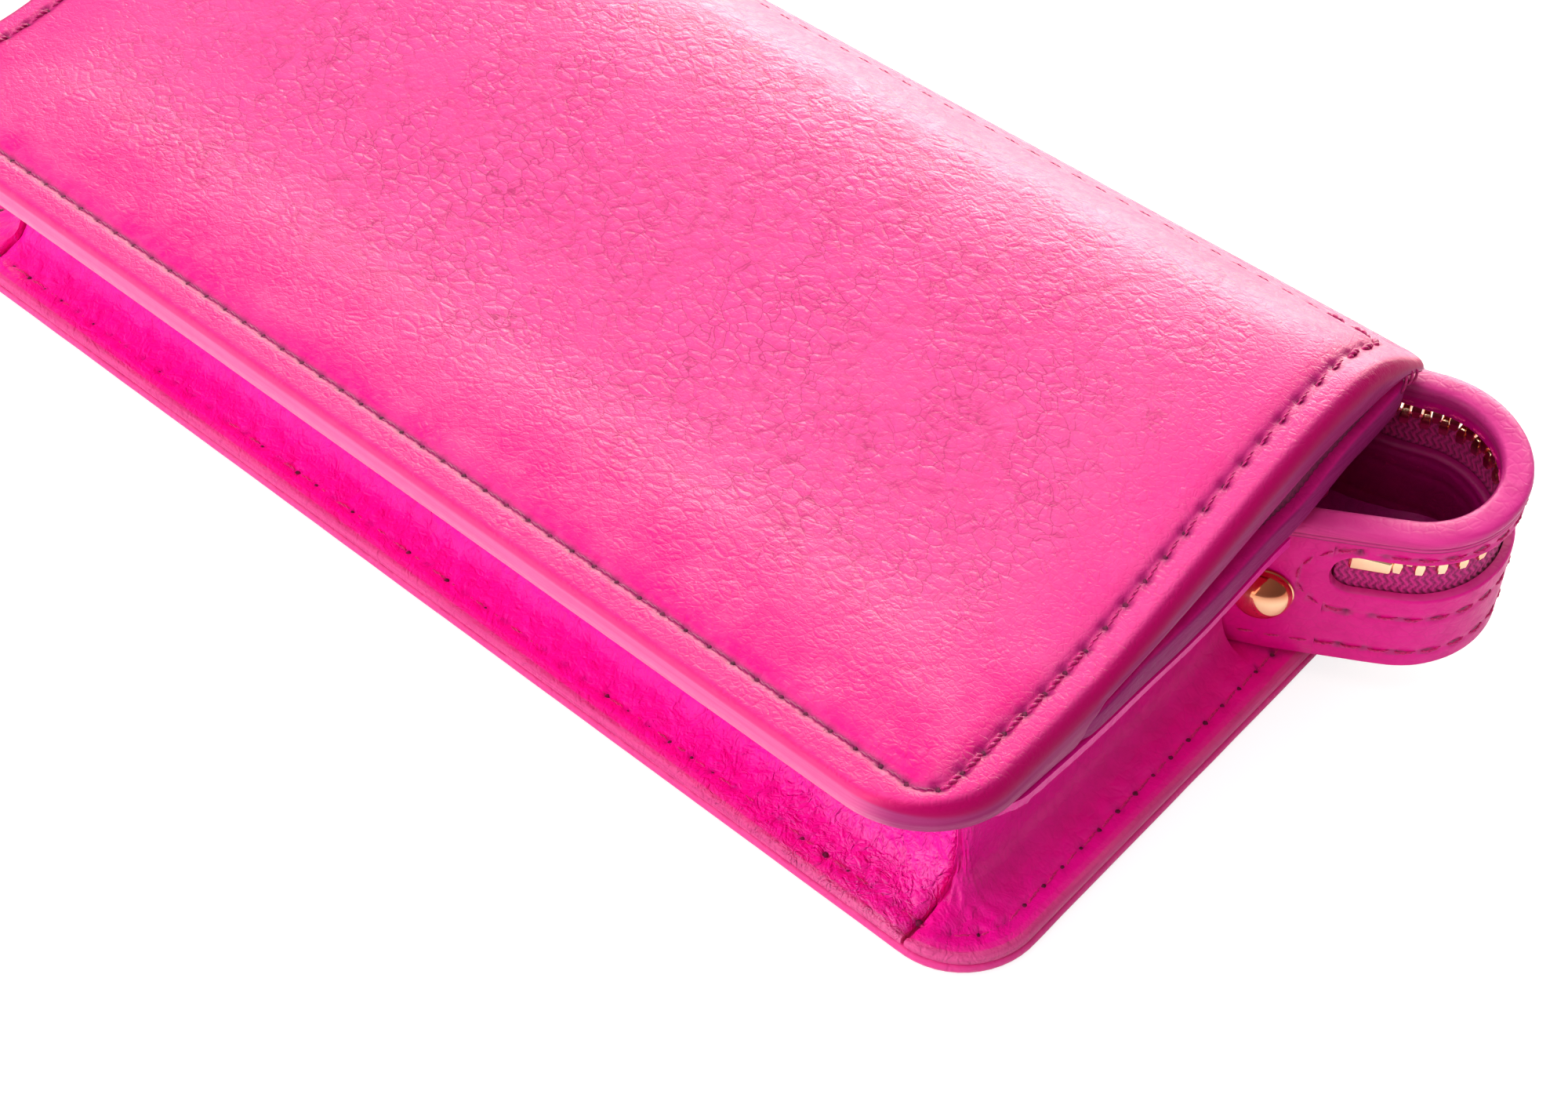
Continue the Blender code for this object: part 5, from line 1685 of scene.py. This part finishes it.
def band_strips():
    for start, word, node in ((0.0, "right", "zip_band_lower_inner"),
                              (LENGTH - SLOT_START, "left", "zip_band_lower_outer")):
        along = np.linspace(start, start + SLOT_START, 28)
        ob = strip(f"zip_band_tab_{word}", along, rim_section(np.full(28, BAND_HEIGHT), True),
                   610, (BOTTOM_ROW,), rim=True, wave=0.10)
        attach(ob, "body", node, slot="gusset_leather")
    along = slot_stations()
    slot_high, slot_low = slot_edges(from_end(along))
    ob = strip("zip_band_lower", along, lower_section(slot_low, np.full_like(along, BAND_HEIGHT)),
               620, (UNDER_SLOT_ROW, BOTTOM_ROW), rim=False)
    attach(ob, "body", "zip_band_lower_outer", "zip_band_lower_inner", slot="gusset_leather")
    ob = strip("zip_band_upper", along, rim_section(slot_high, False), 630, (OVER_SLOT_ROW,),
               rim=True)
    attach(ob, BAND_BLEND, "zip_band_upper_outer", "zip_band_upper_inner", slot="gusset_leather")


def band_stitching():
    # (name, distance from each end, depth, part, side: 1 outer or -1 inner, radius, seed)
    table = (
        ("bottom", 0.8, BOTTOM_ROW, "body", 1, 0.14, 3),
        ("under_slot", 17.2, UNDER_SLOT_ROW, "body", 1, 0.14, 4),
        ("over_slot", 17.2, OVER_SLOT_ROW, BAND_BLEND, 1, 0.13, 6),
        ("inside_top", 15.0, 3.05, BAND_BLEND, -1, 0.15, 7),
        ("inside_low", 15.0, 13.4, "body", -1, 0.15, 8),
    )
    for word, margin, depth, part, side, radius, seed in table:
        start = math.ceil(margin / BAND_PITCH) * BAND_PITCH
        end = math.floor((LENGTH - margin) / BAND_PITCH) * BAND_PITCH
        along = even([[start], [end]], 0.4)[:, 0]
        ob = stitches(f"band_stitches_{word}", band_point(along, side * 1.70, depth),
                      side * band_frame(along)[1], THREAD, pitch=BAND_PITCH, radius=radius,
                      height=0.10, sink=0.25, gap=0.35, skew=0.25, seed=seed)
        attach(ob, part)
    angle = np.linspace(math.radians(96), math.radians(264), 60)
    dist = END_ALONG + END_R_ALONG * np.cos(angle)
    depth = END_DEPTH - END_R_DEPTH * np.sin(angle)
    for word, along in (("right", dist), ("left", LENGTH - dist)):
        ob = stitches(f"slot_end_stitches_{word}", band_point(along, 1.66, depth),
                      band_frame(along)[1], THREAD, pitch=2.6, radius=0.13, height=0.1,
                      sink=0.22, gap=0.25, skew=0.15, seed=12)
        attach(ob, "body")


band_strips()
band_stitching()

# ---------------------------------------------------------------- zip tapes, teeth and stops
TOOTH_PITCH = 2.54
CORNERS = ((-1, -1), (1, -1), (1, 1), (-1, 1))
# sections of a tooth, from the legs that grip the tape to the head: (reach, half width, half depth)
TOOTH = [(-1.55, 0.50, 0.95), (-0.55, 0.62, 1.08), (0.0, 0.60, 1.08), (0.35, 0.46, 1.0),
         (0.95, 0.44, 0.92), (1.12, 0.30, 0.75)]


def tape(word, top, bottom, part):
    along = np.arange(14.0, LENGTH - 14.0, 0.26)[:, None]
    count = int(round((bottom - top) / 0.24)) + 1
    depth = top + (bottom - top) * np.arange(count) / (count - 1)
    depth = np.r_[depth, depth[::-1]]
    face = np.repeat([1, -1], count)
    rib = rib_height(along, depth)
    sunk = CHAIN_INSET * 0.5 * ease(1.0 - np.abs(depth - CHAIN_DEPTH) / 4.0)
    grid = band_point(along, face * (0.10 + 0.22 * rib) - sunk, depth)
    ob = loft(f"zip_tape_{word}_woven", grid, TAPE, 70, {"rib": rib})
    attach(ob, part, f"zip_tape_{word}", slot="tape")


def teeth(word, sign, start, part):
    """A row of teeth; sign is 1 for the upper row. The rows part beyond the slider."""
    verts, faces = block([[(a * width, b * thick, sign * reach) for a, b in CORNERS]
                          for reach, width, thick in TOOTH], bevel=0.10, segments=1)
    verts = verts * (1, 1, -1)
    slider = HALF_LENGTH - SLIDER_X
    parts = []
    for along in np.arange(start, LENGTH - 21.6, TOOTH_PITCH):
        apart = 0.75 * float(ease((along - slider - 2.0) / 6.0))
        depth = CHAIN_DEPTH - sign * 0.45 - sign * apart
        parts.append((on_band(along, -CHAIN_INSET, depth, verts), faces))
    ob = merged(f"zip_teeth_row_{word}", parts, TEETH_GOLD, 40)
    attach(ob, part, f"zip_teeth_{word}", slot="gold")


def stop(name, node, along, depth, *, length, thick, heights, bevel=0.3, part="body"):
    """A rounded metal block on the chain; heights at its two ends."""
    verts, faces = block([[(share * length, a * thick / 2, b * height / 2) for a, b in CORNERS]
                          for share, height in zip((-0.5, 0.5), heights)], bevel, segments=3)
    ob = mesh_object(name, on_band(along, 0.0, depth, verts), faces, GOLD, 35)
    attach(ob, part, node, slot="gold")


tape("lower", CHAIN_DEPTH + 0.8, 16.0, "body")
tape("upper", 1.6, CHAIN_DEPTH - 0.8, BAND_BLEND)
teeth("upper", 1, 21.2 + TOOTH_PITCH / 2, BAND_BLEND)
teeth("lower", -1, 21.2, "body")
stop("zip_end_box_polished", "zip_end_box", 18.0, CHAIN_DEPTH + 0.35, length=5.2, thick=3.0,
     heights=(2.7, 2.1), bevel=0.45)
stop_size = dict(length=1.9, thick=2.7, heights=(1.7, 1.7))
stop("zip_stop_lower_polished", "zip_top_stop_lower", LENGTH - 19.6, CHAIN_DEPTH + 1.35,
     **stop_size)
stop("zip_stop_upper_polished", "zip_top_stop_upper", LENGTH - 19.6, CHAIN_DEPTH - 1.35,
     part=BAND_BLEND, **stop_size)


# ---------------------------------------------------------------- loops and rivets
def loop_fold(sign, word):
    """Soft leather folded inside a loop, spanning from its tab side to its back side."""
    loop_mid, far_end = TAB_LENGTH + LOOP_R * LOOP_ANGLE / 2, CURVE_END + 6.0
    reach = np.linspace(-0.3, 0.97, 46)
    share = np.maximum(reach, 0.0)
    near = 0.6 + share * (loop_mid - 0.6)
    far = far_end - share * (far_end - loop_mid)
    if sign < 0:
        near, far = LENGTH - near, LENGTH - far
    near, far = band_point(near, -1.7, 0.0), band_point(far, -1.7, 0.0)
    shift = sign * 5.5 * np.minimum(reach, 0.0) / 0.3  # the first rows reach into the wallet
    near[:, 0] += shift
    far[:, 0] += shift
    span = np.linspace(0, 1, 34)
    grid = near[:, None, :] * (1 - span)[:, None] + far[:, None, :] * span[:, None]
    x, y = grid[:, :, 0], grid[:, :, 1]
    width = np.hypot(*(near - far)[:, :2].T)[:, None] / 26.0
    arch = np.sin(math.pi * span)
    sag = 4.0 * arch**0.8 * np.clip(width, 0.1, 1)
    wrinkle = 1 - 2.4 * np.abs(fractal(x / 5.0 + 2 * fractal(y / 6, x / 6, 701), y / 3.2, 702))
    fine = 1 - 2.2 * np.abs(fractal(x / 2.0 + 5, y / 1.7, 707, 2))
    z = 7.6 + 2.6 * span + 1.5 * reach[:, None] - sag + (1.1 * wrinkle + 0.4 * fine) * arch**0.4
    grid[:, :, 2] = np.maximum(z, 3.6)
    grid = np.concatenate([grid, (grid - 0.7 * UP)[:, ::-1]], axis=1)
    # crease darkens the wrinkles' valleys: painted shade
    crease = np.concatenate([np.clip(0.4 - wrinkle, 0, 1), 0 * wrinkle], 1)
    ob = loft(f"loop_fold_{word}", grid, SHADED_FOLD_LEATHER, 60,
              {"edge": 0.0, "crease": crease, "hole": 0.0})
    attach(ob, "body")


# a rivet's profile: a flat rim, then a dome (radius, height)
DOME = [(3.2, 0.0), (3.75, 0.02), (3.9, 0.16), (3.9, 0.36), (3.76, 0.50)]
DOME += [(3.76 * math.cos(math.radians(deg)), 0.50 + 2.85 * math.sin(math.radians(deg)))
         for deg in range(6, 90, 5)]
DOME += [(0.12, 3.35)]


def rivet(word, along):
    axis = unit(band_frame(along)[1])
    first = unit(np.cross(axis, UP))
    radii, heights = np.array(DOME).T
    centres = band_point(along, 1.82, RIVET_DEPTH) + axis * heights[:, None]
    part = round_part(centres, radii, first, np.cross(axis, first), 48)
    ob = merged(f"rivet_dome_{word}", [part], RIVET_GOLD, 30)
    attach(ob, "body", f"rivet_cap_{word}", slot="gold")


loop_fold(1, "right")
loop_fold(-1, "left")
rivet("right", RIVET_ALONG)
rivet("left", LENGTH - RIVET_ALONG)

# ---------------------------------------------------------------- linings, pockets and pouch
# Sheets in the body and under the cover. Low and high are z in the body, and offsets from the
# inner panel's underside in the cover: (name, CAD node, front, back, half x, low, high)
BODY_SHEETS = (
    ("body_lining", "bottom_lining", -35.4, 35.4, 79.2, 3.75, 4.35),
    ("body_note_pocket", "note_pocket", -34.5, 27.0, 78.5, 4.7, 5.65),
    ("body_card_slot_back", "body_card_pocket_back", -34.0, 18.0, 77.0, 6.05, 6.9),
    ("body_card_slot_front", "body_card_pocket_front", -34.0, 6.0, 77.0, 7.3, 8.15),
)
COVER_SHEETS = (
    ("cover_inside_lining", "cover_lining", -34.5, 34.0, 80.0, -0.9, -0.3),
    ("cover_card_slot_back", "cover_card_pocket_back", -33.0, 22.0, 77.0, -2.15, -1.25),
    ("cover_card_slot_middle", "cover_card_pocket_middle", -33.0, 10.0, 77.0, -3.4, -2.5),
    ("cover_card_slot_front", "cover_card_pocket_front", -33.0, -2.0, 77.0, -4.65, -3.75),
)


def soft_sheet(name, node, front, back, half_x, low, high, *, part, base, seed):
    """A thin wavy sheet; the pockets are leather and stitched, the linings are plain twill."""
    lining = name.endswith("lining")
    plan = (half_x, front, back, 4.0, 4.0)

    def top(x, y):
        waves = 0.05 * fractal(x / 18, y / 12, seed)
        return base(y) + high + waves * ease(-rounded_distance(x, y, *plan) / 4)

    ob = panel(name, LINING if lining else POCKET_LEATHER, plan, top, lambda y: base(y) + low,
               step=2.2, lip=0.35, drop=0.3, foot=0.2, wall_rows=1)
    attach(ob, part, node)
    if lining:
        return
    path = rounded_path(half_x - 2.0, front + 2.0, back - 2.0, 2.2, 2.2, 0.5)
    side, level = (-1, low) if part == "cover" else (1, high)
    points = np.column_stack([path, base(path[:, 1]) + level + side * 0.02])
    ob = stitches(name + "_thread", points, np.tile(side * UP, (len(path), 1)), THREAD,
                  pitch=3.2, radius=0.16, height=0.12, sink=0.2, gap=0.3, skew=0.1, strands=1,
                  seed=seed)
    attach(ob, part)


def centre_pouch():
    plan = (76.0, -33.5, 30.0, 5.0, 5.0)

    def top(x, y):
        inside = -rounded_distance(x, y, *plan)
        return (12.2 + 2.9 * ease(inside / 14)
                + 0.35 * fractal(x / 14, y / 10, 91) * ease(inside / 6))

    def under(y):
        return 11.0 - 0.9 * ease(np.abs(np.abs(y + 1.75) - 31.7) / 14)

    ob = panel("centre_pouch_bag", LINING, plan, top, under, step=2.0, lip=0.7, drop=0.45,
               foot=0.3, wall_rows=1)
    attach(ob, "body", "centre_pouch", slot="lining")


for k, row in enumerate(BODY_SHEETS):
    soft_sheet(*row, part="body", base=np.zeros_like, seed=1 + k)
for k, row in enumerate(COVER_SHEETS):
    soft_sheet(*row, part="cover", base=inner_bottom, seed=5 + k)
centre_pouch()

# ---------------------------------------------------------------- the pull's leather tab
PIVOT = np.array([SLIDER_X, BACK_Y + 4.1, RIM_BACK_Z - PULL_DEPTH])
PULL_TILT, PULL_END_X, PULL_END_R = math.radians(8.0), 30.0, 3.9
# across the tab's edge, from one face to the other: (inset, half thickness, edge mark)
PULL_EDGE = [(2.6, 0.86, 0), (1.6, 0.80, 0), (1.0, 0.88, 0), (0.45, 0.85, 0.3), (0.12, 0.6, 0.8),
             (0.0, 0.2, 1)]
PULL_EDGE += [(inset, -thick, mark) for inset, thick, mark in PULL_EDGE[::-1]]


def pull_tab():
    """A tongue that lies along X from the pivot, tilted outwards."""
    outline = [(11.4, -3.15), (20.0, -3.5), (PULL_END_X, -PULL_END_R)]
    for deg in range(12, 180, 12):
        angle = math.radians(deg)
        outline.append((PULL_END_X + PULL_END_R * math.sin(angle), -PULL_END_R * math.cos(angle)))
    outline += [(PULL_END_X, PULL_END_R), (20.0, 3.5), (11.4, 3.15)]
    path = even(outline + outline[:1], 0.5)[:-1]
    along = np.roll(path, -1, axis=0) - np.roll(path, 1, axis=0)
    out = unit(np.column_stack([along[:, 1], -along[:, 0]]))
    count = len(path)
    cos, sin = math.cos(PULL_TILT), math.sin(PULL_TILT)
    turn = np.array([[cos, -sin, 0], [sin, cos, 0], [0, 0, 1]])

    def ring(inset, thick):
        place = path - out * inset
        return np.column_stack([place[:, 0], np.full(count, thick), place[:, 1]]) @ turn.T + PIVOT

    verts = np.concatenate([ring(inset, thick) for inset, thick, _ in PULL_EDGE])
    edge = np.repeat([mark for _, _, mark in PULL_EDGE], count)
    ob = mesh_object("pull_leather_tab", verts, loft_faces(len(PULL_EDGE), count),
                     POCKET_LEATHER, 50, {"edge": edge, "crease": 0 * edge, "hole": 0 * edge})
    attach(ob, "pull", "pull_tab", slot="top_leather")
    for side, word in ((1, "out"), (-1, "in")):
        row = ring(1.35, side * 0.84)
        normals = np.tile(np.array([0.0, side, 0.0]) @ turn.T, (count + 1, 1))
        ob = stitches(f"pull_thread_{word}", np.vstack([row, row[:1]]), normals, THREAD,
                      pitch=2.4, radius=0.14, height=0.1, sink=0.18, gap=0.22, skew=0.1, seed=21)
        attach(ob, "pull")


pull_tab()


# ---------------------------------------------------------------- CAD nodes that stay
def dress_node(node, mat):
    ob = frame["nodes"][node]
    ob.data.materials.clear()
    ob.data.materials.append(mat)
    if mat is GOLD:
        bevel = ob.modifiers.new("soft_edges", "BEVEL")
        bevel.width = 0.00018
        bevel.segments = 2
        bevel.limit_method = "ANGLE"
        bevel.angle_limit = math.radians(35)
        for face in ob.data.polygons:
            face.use_smooth = True


dress_node("bottom_board", BOARD)
for node in ("zip_slider", "pull_link", "rivet_post_right", "rivet_post_left"):
    dress_node(node, GOLD)


# ---------------------------------------------------------------- stage, in metres
def floor():
    """A pale floor with its own tone for the camera, for reflections and for bounced light."""
    m = Shader("pale_floor", (0.93, 0.93, 0.93), 0.6)

    def tone(dark, light):
        return m.mix(m.ramp(m.noise(400, detail=2.0), 0.3, 0.7), dark, light)

    bright = tone((0.93, 0.93, 0.93), (0.95, 0.95, 0.945))
    path = m.node("ShaderNodeLightPath")
    seen, shiny = path.outputs["Is Camera Ray"], path.outputs["Is Glossy Ray"]
    dim = tone((0.34, 0.34, 0.34), (0.355, 0.355, 0.35))
    m.set(Base_Color=m.mix(seen, m.mix(shiny, (0.92, 0.92, 0.92), bright), dim),
          Emission_Color=(1, 1, 1),
          Emission_Strength=m.plus(m.times(seen, 0.82), m.times(shiny, 0.25)))
    me = bpy.data.meshes.new("floor")
    half, level = 4, -0.0003
    me.from_pydata([(a * half, b * half, level) for a, b in CORNERS], [], [(0, 1, 2, 3)])
    me.materials.append(m.mat)
    ob = bpy.data.objects.new("floor", me)
    scene.collection.objects.link(ob)
    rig.stage(ob)


def studio_world():
    """White surroundings, brighter towards the upper left front."""
    world = bpy.data.worlds.new("studio")
    world.use_nodes = True
    tree = world.node_tree
    coord = tree.nodes.new("ShaderNodeTexCoord")
    facing = tree.nodes.new("ShaderNodeVectorMath")
    facing.operation = "DOT_PRODUCT"
    facing.inputs[1].default_value = (-0.80, -0.45, 0.40)
    strength = tree.nodes.new("ShaderNodeMapRange")
    strength.interpolation_type = "SMOOTHSTEP"
    for key, value in (("From Min", -0.75), ("From Max", 0.85), ("To Min", 0.25),
                       ("To Max", 0.46)):
        strength.inputs[key].default_value = value
    background = tree.nodes["Background"]
    tree.links.new(coord.outputs["Generated"], facing.inputs[0])
    tree.links.new(facing.outputs["Value"], strength.inputs["Value"])
    tree.links.new(strength.outputs["Result"], background.inputs["Strength"])
    background.inputs["Color"].default_value = (1, 1, 1, 1)
    scene.world = world


def aim(ob, place, direction):
    ob.location = place
    ob.rotation_mode = "QUATERNION"
    ob.rotation_quaternion = direction.to_track_quat("-Z", "Y")
    scene.collection.objects.link(ob)


def softbox(name, place, target, size, power, colour=(1, 1, 1)):
    light = bpy.data.lights.new(name, "AREA")
    light.shape = "RECTANGLE"
    light.size, light.size_y = size
    light.energy = power
    light.color = colour
    ob = bpy.data.objects.new(name, light)
    aim(ob, place, Vector(target) - Vector(place))
    return ob


def lights():
    """The back softbox makes the sheen; two fills carry the soft light."""
    back = dict(place=(-0.45, 0.95, 0.42), target=(0.0, 0.0, 0.03), size=(1.3, 0.7))
    softbox("softbox_back", **back, power=37.0, colour=(1.0, 1.0, 0.80)).visible_diffuse = False
    softbox("softbox_back_fill", **back, power=13.0).visible_glossy = False
    softbox("softbox_top_fill", place=(-0.10, 0.10, 1.3), target=(0.0, 0.0, 0.02),
            size=(1.2, 1.2), power=6.6).visible_glossy = False
    softbox("softbox_top", place=(-0.25, -0.15, 1.2), target=(0.02, 0.0, 0.02), size=(0.9, 0.9),
            power=2.5)
    softbox("softbox_front", place=(-0.55, -1.15, 0.55), target=(0.05, 0.0, 0.02),
            size=(2.2, 1.1), power=18.6)


def camera():
    """Looks down at the wallet from its front right."""
    cam = bpy.data.cameras.new("camera")
    cam.lens, cam.sensor_width = 61.45, 36.0
    cam.clip_start, cam.clip_end = 0.01, 20.0
    ob = bpy.data.objects.new("camera", cam)
    turn, down = math.radians(41.6), math.radians(48.4)
    look = Vector((-math.sin(turn) * math.cos(down), math.cos(turn) * math.cos(down),
                   -math.sin(down)))
    aim(ob, (0.1903, -0.1847, 0.2642), look)
    scene.camera = ob


floor()
studio_world()
lights()
camera()

new_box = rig.bounds()
with open("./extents.json", "w") as f:
    json.dump({"cad": [list(v) for v in CAD_BOX], "visual": [list(v) for v in new_box]}, f)
